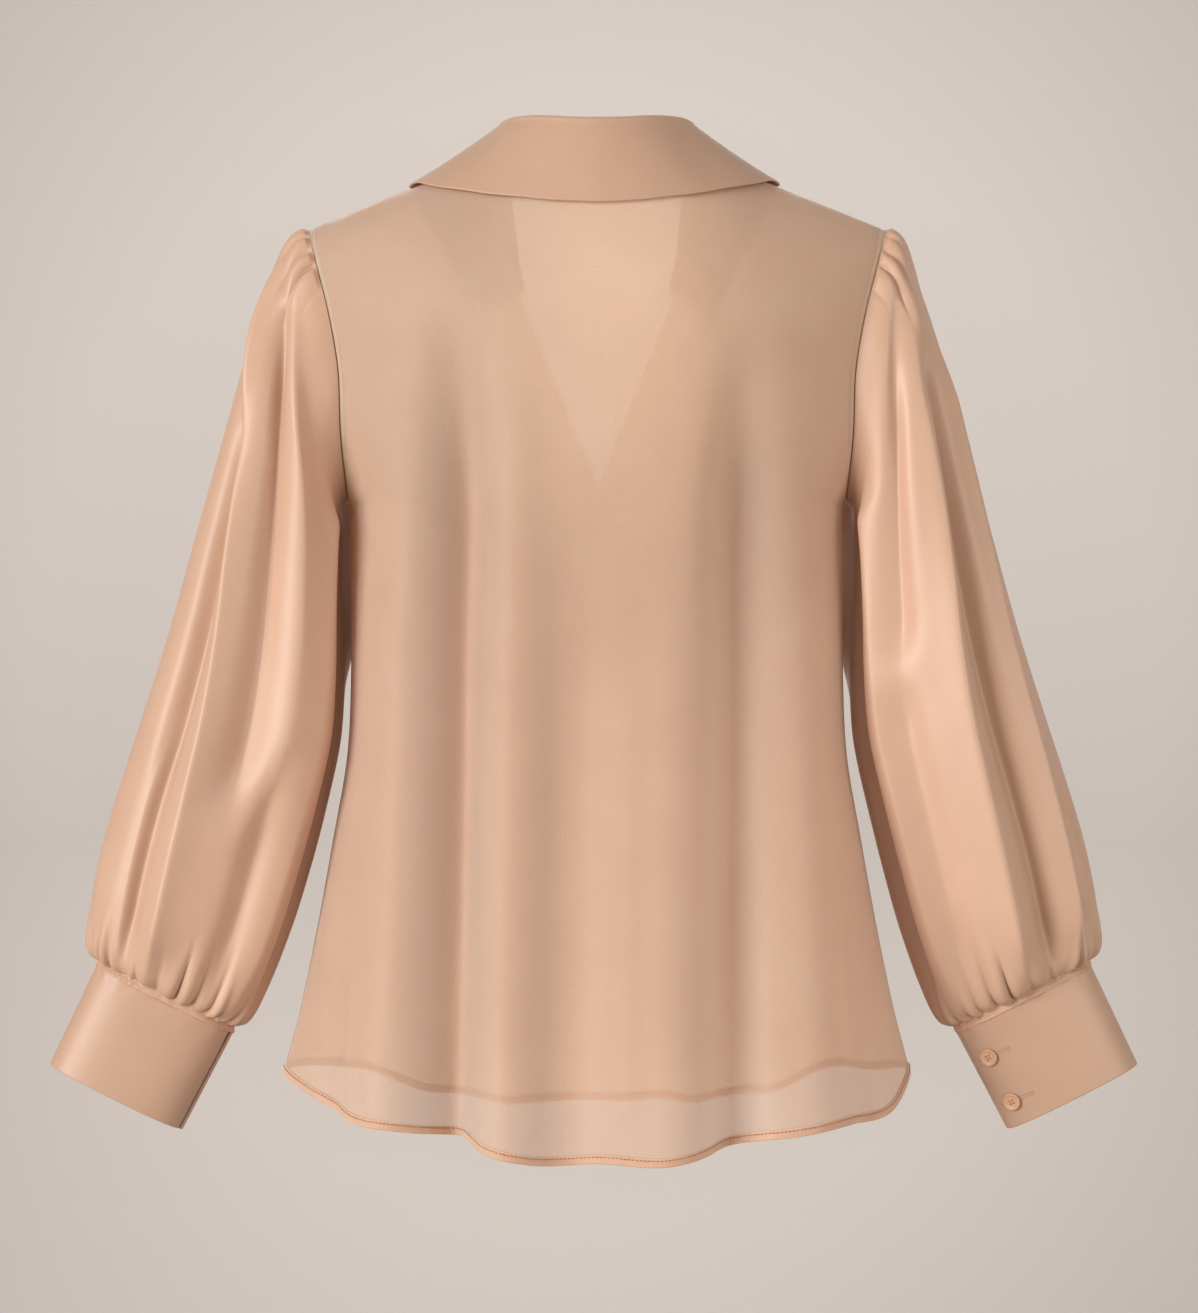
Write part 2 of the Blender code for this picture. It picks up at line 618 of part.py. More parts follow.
def armhole_point(angle):
    """A point of the left armhole's edge: 0 at the shoulder, 180 at the underarm, 270 at the front."""
    panel = BACK if angle <= 180 else FRONT
    share = angle / 180 if angle <= 180 else 2 - angle / 180
    top = math.pi / 2
    low = float(climb_of(panel, 1.0, UNDERARM_Z))
    point = body_point(panel, np.array(1.0), np.array(top + (low - top) * share))
    return point + (ARMHOLE_SHIFT, 0, 0)


def under_swell(side, along, angles):
    """How far the sleeve's front swells in towards the body."""
    round_it = np.exp(-(((angles - UNDER_SWELL_ANGLE) / UNDER_SWELL_WIDTH) ** 2))
    down_it = smooth(*UNDER_SWELL_IN, along) * (1 - smooth(*UNDER_SWELL_OUT, along))
    return UNDER_SWELL[side] * round_it * down_it


def sleeve_form(side, along, angles):
    """The smooth form of a left-hand sleeve at one place along it, at each angle round it."""
    outer = np.array([read(SLEEVE, "along", "outer_x", along), 0, read(SLEEVE, "along", "outer_z", along)])
    inner = np.array([read(SLEEVE, "along", "inner_x", along), 0, read(SLEEVE, "along", "inner_z", along)])
    depth = float(read(SLEEVE, "along", "half_depth", along))
    if side == "right":
        outer[0] -= RIGHT_SLEEVE_IN * smooth(0.0, OUTER_IN_BY, along)
        inner[0] -= RIGHT_SLEEVE_IN * smooth(INNER_IN_FROM, 1.0, along)
    turns = np.radians(angles)[:, None]
    round_section = (outer + inner) / 2 + (outer - inner) / 2 * np.cos(turns)
    swell = under_swell(side, along, angles)[:, None] * (1, 0, 0)
    return round_section + np.array([0, depth, 0]) * np.sin(turns) - swell


def sleeve_grid(side, places, angles):
    """The smooth form of the sleeve: its first ring is the armhole, and the next ones leave it softly."""
    armhole = np.array([armhole_point(angle) for angle in angles])
    off_round = armhole - sleeve_form(side, 0.0, angles)
    rings = []
    for along in places:
        hold = 1 - smooth(0.0, ARMHOLE_BLEND, along)
        rings.append(sleeve_form(side, along, angles) + off_round * hold)
    return np.array(rings)


def gather_length(index):
    """Gathers are uneven: each has its own share of the full reach, from 0.55 to all of it."""
    return 0.55 + 0.45 * math.sin(index * 2.4 + 0.7) ** 2


def cuff_gathers(along, angle):
    """The small waves where the sleeve is drawn into the cuff."""
    index = int(angle / 360 * GATHERS_CUFF)
    reach = CUFF_GATHER_REACH * gather_length(index)
    from_cuff = 1 - along
    swell = 0.45 + 0.55 * float(smooth(0.0, CUFF_GATHER_SWELL, from_cuff))
    fade = 1 - float(smooth(GATHER_FULL_BY * reach, reach, from_cuff))
    wave = math.cos(math.radians(angle * GATHERS_CUFF))
    return CUFF_GATHER_DEPTH * swell * fade * wave


def head_gathers(along, angle):
    """The soft pleats over the top of the sleeve head."""
    from_top = min(angle, 360 - angle)
    index = int(from_top / HEAD_GATHER_ARC * GATHERS_HEAD / 2)
    reach = HEAD_GATHER_REACH * gather_length(index + 3)
    fade = 1 - float(smooth(GATHER_FULL_BY * reach, reach, along))
    rise = float(smooth(0.0, HEAD_GATHER_SWELL, along)) * fade
    over_top = 1 - float(smooth(HEAD_GATHER_FADE * HEAD_GATHER_ARC, HEAD_GATHER_ARC, from_top))
    wave = math.cos(math.radians(from_top / HEAD_GATHER_ARC * GATHERS_HEAD / 2 * 360))
    return HEAD_GATHER_DEPTH * rise * over_top * wave


def long_folds(side, along, angle):
    """The long ridges and troughs that run down the sleeve."""
    total = 0.0
    for fold in SLEEVE_FOLDS[side]:
        settled = (1 - math.exp(-along / fold.sweep)) / (1 - math.exp(-1 / fold.sweep))
        middle = fold.head_angle + (fold.cuff_angle - fold.head_angle) * settled
        off = (angle - middle + 180) % 360 - 180
        fade_in = float(smooth(fold.start, fold.start + FOLD_END_FADE, along))
        fade_out = 1 - float(smooth(fold.end - FOLD_END_FADE, fold.end, along))
        total += fold.depth * fade_in * fade_out * math.exp(-((off / fold.width) ** 2))
    return total


def make_sleeve(side, material):
    """A full sleeve, eased into the armhole and gathered into the cuff."""
    around = 2 * GATHERS_CUFF
    angles = np.arange(around) * 360.0 / around
    places = 0.5 - 0.5 * np.cos(math.pi * np.arange(SLEEVE_RINGS + 1) / SLEEVE_RINGS)
    form = sleeve_grid(side, places, angles)
    normals = normals_of(form, round_tube=True)
    if normals[SLEEVE_RINGS // 2, 0, 0] < 0:
        normals = -normals
    folds = np.zeros(form.shape[:2])
    for row, along in enumerate(places):
        for column, angle in enumerate(angles):
            waves = cuff_gathers(along, angle) + head_gathers(along, angle)
            folds[row, column] = waves + long_folds(side, along, angle)
    outer = form + normals * folds[..., None]
    inner = form + normals * (folds - CLOTH)[..., None]
    flip = mirrored(side)
    return cloth_wall("sleeve_" + side, outer * flip, inner * flip, material, round_tube=True)


# ------------------------------------------------------------------ cuffs
def cuff_axes(side):
    """(middle of the top edge, down the cuff, across it) of the left cuff, or of the right one mirrored."""
    tilt = math.radians(CUFF_TILT)
    shift = RIGHT_SLEEVE_IN if side == "right" else 0.0
    top = np.array([CUFF_TOP[0] - shift, 0.0, CUFF_TOP[1]])
    down = np.array([math.sin(tilt), 0.0, -math.cos(tilt)])
    return top, down, np.array([math.cos(tilt), 0.0, math.sin(tilt)])


def cuff_point(side, along, angle, lift):
    """A point of the cuff's outside: along is 0 at the seam and 1 at the free edge, lift stands out of it."""
    top, down, across = cuff_axes(side)
    half_width = CUFF_HALF_WIDTH[0] + (CUFF_HALF_WIDTH[1] - CUFF_HALF_WIDTH[0]) * along
    half_depth = CUFF_HALF_DEPTH[0] + (CUFF_HALF_DEPTH[1] - CUFF_HALF_DEPTH[0]) * along
    cosine, sine = math.cos(math.radians(angle)), math.sin(math.radians(angle))
    power = 2 / CUFF_POWER
    wide = math.copysign(abs(cosine) ** power, cosine)
    deep = math.copysign(abs(sine) ** power, sine)
    slant = 2 - power
    lean = np.array([math.copysign(abs(cosine) ** slant, cosine) / half_width,
                     math.copysign(abs(sine) ** slant, sine) / half_depth])
    lean = lean / np.linalg.norm(lean)
    middle = top + down * (SLEEVE_CUFF_GAP + CUFF_LENGTH * along)
    to_side = across * (wide * half_width + lean[0] * lift)
    return middle + to_side + np.array([0, deep * half_depth + lean[1] * lift, 0])


def make_cuff(side, material):
    """A cuff is one strip wound a little more than once round, its outer end lapped over its inner end."""
    lap = CUFF_LAPS[side]
    whole = 360 + lap.overlap
    outer, inner = [], []
    for row in range(CUFF_ROWS + 1):
        outer_row, inner_row = [], []
        for step in range(CUFF_STEPS + 1):
            wound = whole * step / CUFF_STEPS
            lift = CUFF_LIFT * (1 - float(smooth(lap.overlap, lap.overlap + CUFF_LIFT_RAMP, wound)))
            angle = lap.end_angle + lap.turn * wound
            outer_row.append(cuff_point(side, row / CUFF_ROWS, angle, lift))
            inner_row.append(cuff_point(side, row / CUFF_ROWS, angle, lift - CUFF_CLOTH))
        outer.append(outer_row)
        inner.append(inner_row)
    flip = mirrored(side)
    return cloth_wall("cuff_" + side, np.array(outer) * flip, np.array(inner) * flip, material)


# ------------------------------------------------------------------ buttons
def button_blank():
    """The button before its holes: a turned disc with a raised rim, lying on its back."""
    shape = bmesh.new()
    rings = []
    for rim in BUTTON_PROFILE:
        ring = []
        for side in range(BUTTON_SIDES):
            turn = 2 * math.pi * side / BUTTON_SIDES
            spot = (rim.radius * math.cos(turn), rim.radius * math.sin(turn), rim.height)
            ring.append(shape.verts.new(spot))
        rings.append(ring)
    for low, high in zip(rings, rings[1:]):
        for side in range(BUTTON_SIDES):
            after = (side + 1) % BUTTON_SIDES
            shape.faces.new((low[side], low[after], high[after], high[side]))
    shape.faces.new(rings[0][::-1])
    shape.faces.new(rings[-1])
    return shape


def button_mesh():
    """The four-hole button, cut once and shared by all the buttons."""
    blank = bpy.data.meshes.new("button")
    shape = button_blank()
    shape.to_mesh(blank)
    shape.free()
    drills = bmesh.new()
    length = 4 * BUTTON_PROFILE[-1].height
    for hole in range(4):
        turn = math.pi / 4 + hole * math.pi / 2
        spot = Vector((math.cos(turn), math.sin(turn), 0)) * BUTTON_HOLE_REACH
        bmesh.ops.create_cone(drills, cap_ends=True, segments=BUTTON_HOLE_SIDES, radius1=BUTTON_HOLE_RADIUS,
                              radius2=BUTTON_HOLE_RADIUS, depth=length, matrix=Matrix.Translation(spot))
    drill_mesh = bpy.data.meshes.new("button_drills")
    drills.to_mesh(drill_mesh)
    drills.free()
    body = bpy.data.objects.new("button_body", blank)
    cutter = bpy.data.objects.new("button_drills", drill_mesh)
    for thing in (body, cutter):
        bpy.context.scene.collection.objects.link(thing)
    cut = body.modifiers.new("holes", "BOOLEAN")
    cut.operation = "DIFFERENCE"
    cut.object = cutter
    cut.solver = "EXACT"
    drilled = bpy.data.meshes.new_from_object(body.evaluated_get(bpy.context.evaluated_depsgraph_get()))
    for thing in (body, cutter):
        bpy.data.objects.remove(thing)
    drilled.name = "button_drilled"
    return drilled


def make_buttons(side, mesh, material):
    """Two buttons on each cuff, down the lapped end."""
    lap = CUFF_LAPS[side]
    flip = mirrored(side)
    for number, from_top in enumerate(BUTTON_PLACES, start=1):
        along = from_top / CUFF_LENGTH
        seat = cuff_point(side, along, lap.button_angle, CUFF_LIFT)
        above = cuff_point(side, along, lap.button_angle, CUFF_LIFT + 1)
        facing = Vector((above - seat) * flip).normalized()
        down = Vector(cuff_axes(side)[1] * flip)
        across = down.cross(facing).normalized()
        down = facing.cross(across)
        turn = Matrix((across, down, facing)).transposed().to_4x4()
        spot = Vector(seat * flip) + facing * button_clearance(lap, side, along)
        button = place(f"button_{side}_{number}", mesh, material)
        button.matrix_world = Matrix.Translation(spot) @ turn


def button_clearance(lap, side, along):
    """How far a flat-backed button stands off the curved cuff so that its rim just clears it."""
    seat = cuff_point(side, along, lap.button_angle, CUFF_LIFT)
    facing = unit(cuff_point(side, along, lap.button_angle, CUFF_LIFT + 1) - seat)
    worst = 0.0
    for angle in lap.button_angle + np.linspace(-BUTTON_SPAN, BUTTON_SPAN, BUTTON_SAMPLES):
        off = cuff_point(side, along, angle, CUFF_LIFT) - seat
        if np.linalg.norm(off) < BUTTON_RADIUS:
            worst = max(worst, float(np.dot(off, facing)))
    return worst + SEAM_GAP


# ------------------------------------------------------------------ the whole blouse
def clear_scene():
    for thing in list(bpy.data.objects):
        bpy.data.objects.remove(thing)


def main():
    clear_scene()
    sheer = finish_of("sheer crepe", SHEER_CREPE, 0.60)
    crepe = finish_of("satin crepe", CREPE, 0.50)
    resin = finish_of("button resin", BUTTON_RESIN, 0.35)
    for panel in (BACK, FRONT):
        make_panel(panel, sheer)
    make_collar(crepe)
    button = button_mesh()
    for side in ("left", "right"):
        make_sleeve(side, crepe)
        make_cuff(side, crepe)
        make_buttons(side, button, resin)


main()
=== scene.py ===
"""The looks of a long-sleeved popover blouse in light crepe, filled out as if worn, with nobody in it.

Metres, +Z up, the front faces -Y and the wearer's left is +X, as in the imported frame. Each cloth piece is a
thin shell on the same smooth form as its solid. Its folds, gathers and creases are raised or sunk along the
form's own normals, and the sewing is laid on it afterwards.
"""

import math
from collections import namedtuple

import bmesh
import bpy
import numpy as np
from bpy.props import FloatProperty, FloatVectorProperty, PointerProperty
from mathutils import Matrix, Vector


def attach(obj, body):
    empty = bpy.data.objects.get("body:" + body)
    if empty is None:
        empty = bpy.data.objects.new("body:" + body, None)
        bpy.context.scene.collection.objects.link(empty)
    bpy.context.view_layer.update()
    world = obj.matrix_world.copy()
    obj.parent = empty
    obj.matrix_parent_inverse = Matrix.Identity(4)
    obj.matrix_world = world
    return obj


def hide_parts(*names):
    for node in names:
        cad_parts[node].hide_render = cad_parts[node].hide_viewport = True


bl_info = {
    "name": "Popover Blouse",
    "version": (1, 0, 0),
    "blender": (4, 5, 0),
    "location": "3D View > Sidebar > Blouse",
    "description": "Dresses the frame of a long-sleeved popover blouse in crepe, with its sewing and buttons",
    "category": "Object",
}

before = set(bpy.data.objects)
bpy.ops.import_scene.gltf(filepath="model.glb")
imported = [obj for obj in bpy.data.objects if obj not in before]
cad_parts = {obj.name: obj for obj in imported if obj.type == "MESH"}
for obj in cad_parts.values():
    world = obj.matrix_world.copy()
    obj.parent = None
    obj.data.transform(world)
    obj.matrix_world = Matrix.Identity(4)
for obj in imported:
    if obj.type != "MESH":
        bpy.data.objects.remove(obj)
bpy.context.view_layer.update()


def table(columns, *rows):
    """Rows of numbers under named columns."""
    row_of = namedtuple("Row", columns)
    return tuple(row_of(*row) for row in rows)


# ---------------------------------------- body
SEAM_GAP = 0.0003
CAD_CLOTH = 0.0015
# A turned edge keeps this share of the cloth's thickness.
TURNED_LEAST = 0.12
HEM_DEPTH = 0.006
NECK_HALF = 0.070
SHOULDER_HALF = 0.195
SHOULDER_DROP = 0.050
NECK_RISE = 0.012
BACK_NECK_DEPTH = 0.068
V_DEPTH = 0.222
V_STRAIGHT_HALF = 0.058
V_STRAIGHT_TOP = -0.0915
UNDERARM_Z = -0.235
ARMHOLE_HALF_DEPTH = 0.045
ARMHOLE_ROUND_TOP = -0.150
ARMHOLE_SOFT_FROM = -0.320
ARMHOLE_EDGE_POWER = 14
SECTION_POWER = 2.3
SIDE_ROUNDING = 0.45
ARMHOLE_ROUNDING = 0.90
ROUNDING_FROM, ROUNDING_TO = -0.360, -0.170
CENTRE_SPLIT_DROP = 0.110

Panel = namedtuple("Panel", "name facing cap_z")
BACK = Panel("back", 1, -0.125)
FRONT = Panel("front", -1, -0.150)

BODY = table(
    "z half_width front back",
    (-0.690, 0.2280, 0.154, 0.158),
    (-0.619, 0.2120, 0.146, 0.150),
    (-0.585, 0.2030, 0.140, 0.144),
    (-0.524, 0.1900, 0.130, 0.132),
    (-0.463, 0.1790, 0.120, 0.120),
    (-0.402, 0.1690, 0.113, 0.109),
    (-0.361, 0.1670, 0.111, 0.105),
    (-0.300, 0.1672, 0.112, 0.104),
    (-0.235, 0.1680, 0.114, 0.107),
    (-0.190, 0.1715, 0.114, 0.109),
    (-0.147, 0.1730, 0.112, 0.110),
    (-0.107, 0.1800, 0.110, 0.110),
    (-0.073, 0.1890, 0.108, 0.109),
    (-0.045, 0.1960, 0.108, 0.109),
)

HEM = table(
    "across back front",
    (-1.00, -0.619, -0.619),
    (-0.90, -0.640, -0.625),
    (-0.77, -0.645, -0.625),
    (-0.60, -0.651, -0.642),
    (-0.42, -0.655, -0.648),
    (-0.33, -0.662, -0.651),
    (-0.22, -0.668, -0.653),
    (0.00, -0.666, -0.655),
    (0.20, -0.667, -0.654),
    (0.31, -0.662, -0.652),
    (0.43, -0.649, -0.648),
    (0.58, -0.648, -0.642),
    (0.73, -0.644, -0.630),
    (0.85, -0.632, -0.624),
    (1.00, -0.619, -0.619),
)

# A fold of the body runs from x_high at z_start down to x_low at the hem. A negative depth is a trough.
FOLD_COLUMNS = "x_high x_low half_width depth z_start"
FOLDS = {
    "back": table(
        FOLD_COLUMNS,
        (0.093, 0.103, 0.019, -0.0165, -0.080),
        (-0.098, -0.091, 0.018, -0.0130, -0.095),
        (0.010, 0.018, 0.022, -0.0050, -0.220),
        (0.052, 0.060, 0.020, 0.0050, -0.120),
        (-0.052, -0.046, 0.020, 0.0030, -0.200),
        (0.126, 0.142, 0.018, 0.0030, -0.160),
        (-0.140, -0.144, 0.020, 0.0030, -0.170),
        (0.150, 0.177, 0.008, -0.0025, -0.380),
        (-0.150, -0.183, 0.009, -0.0025, -0.400),
    ),
    "front": table(
        FOLD_COLUMNS,
        (0.060, 0.068, 0.019, -0.0085, -0.250),
        (-0.066, -0.075, 0.018, -0.0090, -0.240),
        (0.020, 0.010, 0.022, 0.0050, -0.270),
        (0.110, 0.132, 0.019, -0.0070, -0.260),
        (-0.112, -0.130, 0.020, -0.0065, -0.280),
        (0.140, 0.160, 0.016, 0.0030, -0.300),
        (-0.030, -0.038, 0.016, 0.0040, -0.290),
    ),
}
FOLD_FADE = 0.180
HEM_FOLD_GAIN = 0.35
FOLD_SIDE_FADE = 0.12
FOLD_GAIN = 1.60
SLEEVE_FOLD_GAIN = 1.65

# Slight creases that only show in the light: where they start and end, how wide and how deep they are.
CREASE_COLUMNS = "x_high z_high x_low z_low half_width depth"
CREASES = {
    "back": table(
        CREASE_COLUMNS,
        (0.182, -0.052, 0.150, -0.036, 0.0030, 0.0007),
        (0.150, -0.036, 0.132, -0.026, 0.0030, 0.0007),
        (-0.128, -0.026, -0.150, -0.040, 0.0040, -0.0008),
        (0.026, -0.300, 0.030, -0.640, 0.0070, -0.0009),
        (-0.022, -0.360, -0.020, -0.650, 0.0060, 0.0008),
        (0.112, -0.380, 0.121, -0.640, 0.0060, -0.0009),
        (-0.120, -0.330, -0.124, -0.630, 0.0070, -0.0009),
        (0.070, -0.420, 0.076, -0.650, 0.0050, 0.0006),
        (-0.072, -0.300, -0.070, -0.640, 0.0060, 0.0007),
        (0.162, -0.240, 0.120, -0.330, 0.0090, -0.0010),
        (-0.160, -0.240, -0.122, -0.320, 0.0090, -0.0009),
    ),
    "front": table(
        CREASE_COLUMNS,
        (0.035, -0.330, 0.040, -0.640, 0.0070, -0.0009),
        (-0.008, -0.300, -0.012, -0.650, 0.0070, -0.0009),
        (0.090, -0.300, 0.101, -0.630, 0.0070, 0.0009),
        (-0.092, -0.340, -0.100, -0.630, 0.0060, 0.0008),
        (0.155, -0.230, 0.112, -0.310, 0.0100, -0.0011),
        (-0.152, -0.230, -0.110, -0.320, 0.0100, -0.0010),
        (0.058, -0.120, 0.090, -0.200, 0.0110, -0.0012),
        (-0.058, -0.120, -0.088, -0.205, 0.0110, -0.0011),
        (-0.152, -0.420, -0.166, -0.625, 0.0060, -0.0012),
        (0.150, -0.440, 0.168, -0.625, 0.0060, -0.0012),
    ),
}

# Shares of a crease's length.
CREASE_FADES_IN, CREASE_FADES_OUT = (-0.1, 0.25), (0.85, 1.15)

NECK_COLUMNS = 30
SHOULDER_COLUMNS = 44
COLUMNS_SHIFT_FROM = 0.15
NORMAL_STEP = 0.001
V_EDGE_SAMPLES = 400
HEM_ROWS = (0.0, 0.0002, 0.0007, 0.0016, 0.0030, 0.0044, 0.0054, 0.0059, 0.0063, 0.0072, 0.0090)
HEM_ROUND = 0.0009
HEM_STEP = (0.0055, 0.0063)
LOWER_ROWS = 66
UPPER_ROWS = 76
HEM_PUCKERS = 150
HEM_PUCKERS_BEAT = 0.37
HEM_PUCKER_DEPTH = 0.00016
HEM_PUCKERS_IN, HEM_PUCKERS_OUT = (0.0, 0.004), (0.006, 0.018)

# ---------------------------------------- collar
COLLAR = table(
    "share fold_in fold_y rise edge_x edge_angle bulge",
    (0.000, 0.0000, -0.0030, 0.0370, 0.0000, 37.0, 0.0015),
    (0.150, 0.0024, -0.0029, 0.0330, 0.0440, 41.0, 0.0012),
    (0.270, 0.0046, -0.0021, 0.0272, 0.0820, 50.0, 0.0008),
    (0.360, 0.0063, -0.0014, 0.0230, 0.1120, 66.5, 0.0000),
    (0.437, 0.0065, -0.0030, 0.0205, 0.1250, 88.0, -0.0006),
    (0.550, 0.0065, -0.0050, 0.0155, 0.1255, 98.0, 0.0000),
    (0.640, 0.0067, -0.0060, 0.0125, 0.1240, 108.0, 0.0020),
    (0.780, 0.0068, -0.0070, 0.0090, 0.1195, 124.0, 0.0050),
    (0.890, 0.0050, -0.0060, 0.0070, 0.1080, 142.0, 0.0060),
    (1.000, 0.0035, -0.0050, 0.0060, 0.0930, 163.0, 0.0060),
)
COLLAR_SEAM_LENGTH = 0.252
# The right half's outer edge lies this much closer in, which it reaches by this share of the collar.
COLLAR_RIGHT_IN = 0.0035
COLLAR_RIGHT_IN_BY = 0.30
# The stations are read this much further on at the centre, so that the two halves meet without a crease.
CENTRE_EASE = 0.030
EASED_COLUMNS = ("fold_y", "rise", "edge_angle", "bulge")
SEAM_SAMPLES = 401
SEAM_REACH = 0.01
COLLAR_SEAM_GAP = 0.0016
FOLD_RADIUS = 0.0034
FOLD_RADIUS_END = 0.0024
COLLAR_CLEARANCE = 0.0032
COLLAR_CLOTH = 0.0016
COLLAR_END_STEPS = (0.9850, 0.9930, 0.9970, 0.9990, 1.0000)
COLLAR_STEPS = 84
COLLAR_EVEN_TO = 0.97
STAND_POINTS = 7
BEND_POINTS = 12
FALL_SHARES = (0.05, 0.10, 0.16, 0.22, 0.29, 0.36, 0.43, 0.50, 0.57, 0.64, 0.71, 0.78, 0.84, 0.90, 0.94,
               0.965, 0.98, 0.99, 0.996, 1.0)
EDGE_ROUND = 0.0009
# Slight hollows and swells of the collar's fall: share along it, share down it, their reach, and how deep.
COLLAR_SWELLS = table(
    "along down along_reach down_reach depth",
    (-0.10, 0.40, 0.11, 0.45, 0.0007),
    (0.02, 0.75, 0.08, 0.35, 0.0005),
    (-0.27, 0.30, 0.06, 0.50, -0.0009),
    (-0.33, 0.62, 0.04, 0.50, 0.0007),
    (0.24, 0.45, 0.07, 0.50, 0.0009),
    (0.33, 0.50, 0.04, 0.60, -0.0006),
    (0.62, 0.50, 0.08, 0.50, 0.0010),
    (-0.66, 0.50, 0.09, 0.50, 0.0009),
)
# The swells start at the fold and are whole from this share down the fall.
SWELLS_WHOLE_FROM = 0.2

# ---------------------------------------- crepe
# The slanted threads of the weave: their scale beside the grain's, and their share of its height.
TWILL_SCALE, TWILL_SHARE = 0.35, 0.14
# Faint clouds in the colour, and the grain's hollows and tops.
CLOUDS_PER_METRE, CLOUD_SHADES = 16.0, (0.965, 1.03)
GRAIN_SHADES = (0.955, 0.95, 0.945, 1), (1.03, 1.03, 1.03, 1)
GRAIN_ROUGHNESS, GRAIN_BUMP = 0.16, 0.30
# The sheer layers look denser towards the shoulders: from this height up to that one.
DENSER_BETWEEN = (-0.380, -0.200)
# How much more light the pores between the threads let through than the threads.
PORES = 0.10
# Hems and seams, where the cloth lies three times over, are this much deeper in colour.
FOLDED_SHADE = (0.90, 0.97, 0.94, 1.0)
# The collar and the cuffs are doubled, which takes their colour down by this factor.
DOUBLED_DEPTH = 0.89

# ---------------------------------------- sleeves (left; the right one mirrors it)
SLEEVE = table(
    "along outer_x outer_z inner_x inner_z half_depth",
    (0.000, 0.1955, -0.0500, 0.1684, -0.2350, 0.0450),
    (0.025, 0.2050, -0.0550, 0.1716, -0.2385, 0.0480),
    (0.065, 0.2165, -0.0735, 0.1730, -0.2430, 0.0505),
    (0.115, 0.2272, -0.1010, 0.1736, -0.2490, 0.0525),
    (0.180, 0.2385, -0.1380, 0.1740, -0.2600, 0.0540),
    (0.275, 0.2530, -0.1900, 0.1740, -0.2820, 0.0550),
    (0.385, 0.2700, -0.2500, 0.1730, -0.3150, 0.0555),
    (0.520, 0.2900, -0.3220, 0.1715, -0.3580, 0.0565),
    (0.625, 0.3080, -0.3790, 0.1730, -0.3950, 0.0575),
    (0.715, 0.3230, -0.4250, 0.1810, -0.4340, 0.0570),
    (0.800, 0.3355, -0.4680, 0.1930, -0.4810, 0.0545),
    (0.870, 0.3425, -0.5030, 0.2080, -0.5280, 0.0500),
    (0.920, 0.3440, -0.5220, 0.2215, -0.5600, 0.0440),
    (0.965, 0.3425, -0.5360, 0.2360, -0.5850, 0.0360),
    (1.000, 0.3362, -0.5455, 0.2484, -0.5897, 0.0250),
)
# The right sleeve hangs this much closer: its outer side from the head down, its inner side at the cuff.
RIGHT_SLEEVE_IN = 0.0045
OUTER_IN_BY = 0.10
INNER_IN_FROM = 0.75
# The front of the sleeve swells in past the body's side seam: by how much, round which angle, and how far.
UNDER_SWELL = {"left": 0.0142, "right": 0.0122}
UNDER_SWELL_ANGLE, UNDER_SWELL_WIDTH = 214.0, 22.0
UNDER_SWELL_IN, UNDER_SWELL_OUT = (0.03, 0.16), (0.40, 0.62)
# The sleeve's head stands this far off the armhole's edge.
ARMHOLE_SHIFT = 0.0001
ARMHOLE_BLEND = 0.16
SLEEVE_COLUMNS = 280
SLEEVE_RINGS = 138

GATHERS_CUFF = 28
GATHERS_HEAD = 10
CUFF_GATHER_DEPTH = 0.0028
CUFF_GATHER_REACH = 0.17 * 0.62
NOTCHES_CUFF = 56
NOTCH_DEPTH = 0.0009
NOTCH_REACH = 0.020
GATHERS_AT_SEAM, GATHERS_WHOLE_FROM = 0.30, 0.03
# Uneven waves round the sleeve's end: how many go round, how high they are, and their phase.
GATHER_REACH_WAVES = ((4, 0.30, 0.7), (9, 0.32, 2.0), (13, 0.22, 4.1))
GATHER_DEPTH_WAVES = ((3, 0.22, 1.0), (7, 0.22, 2.4), (11, 0.15, 0.3))
GATHER_WANDER = ((2, 0.16, 0.4), (5, 0.12, 1.9), (11, 0.10, 0.0))
NOTCH_REACH_WAVES = ((17, 0.4, 1.1),)
NOTCH_GROUP_WAVES = ((5, 0.45, 2.2), (8, 0.35, 0.5))
NOTCH_GROUPS_BETWEEN = (0.55, 1.35)
NOTCH_WANDER = ((2, 0.35, 0.4), (5, 0.26, 1.9), (11, 0.22, 0.0))
HEAD_GATHER_DEPTH = 0.0030
HEAD_GATHER_REACH = 0.12
HEAD_GATHER_ARC = 75.0
HEAD_GATHERS_WHOLE_FROM = 0.010
RIDGE_ROUNDNESS = 0.6

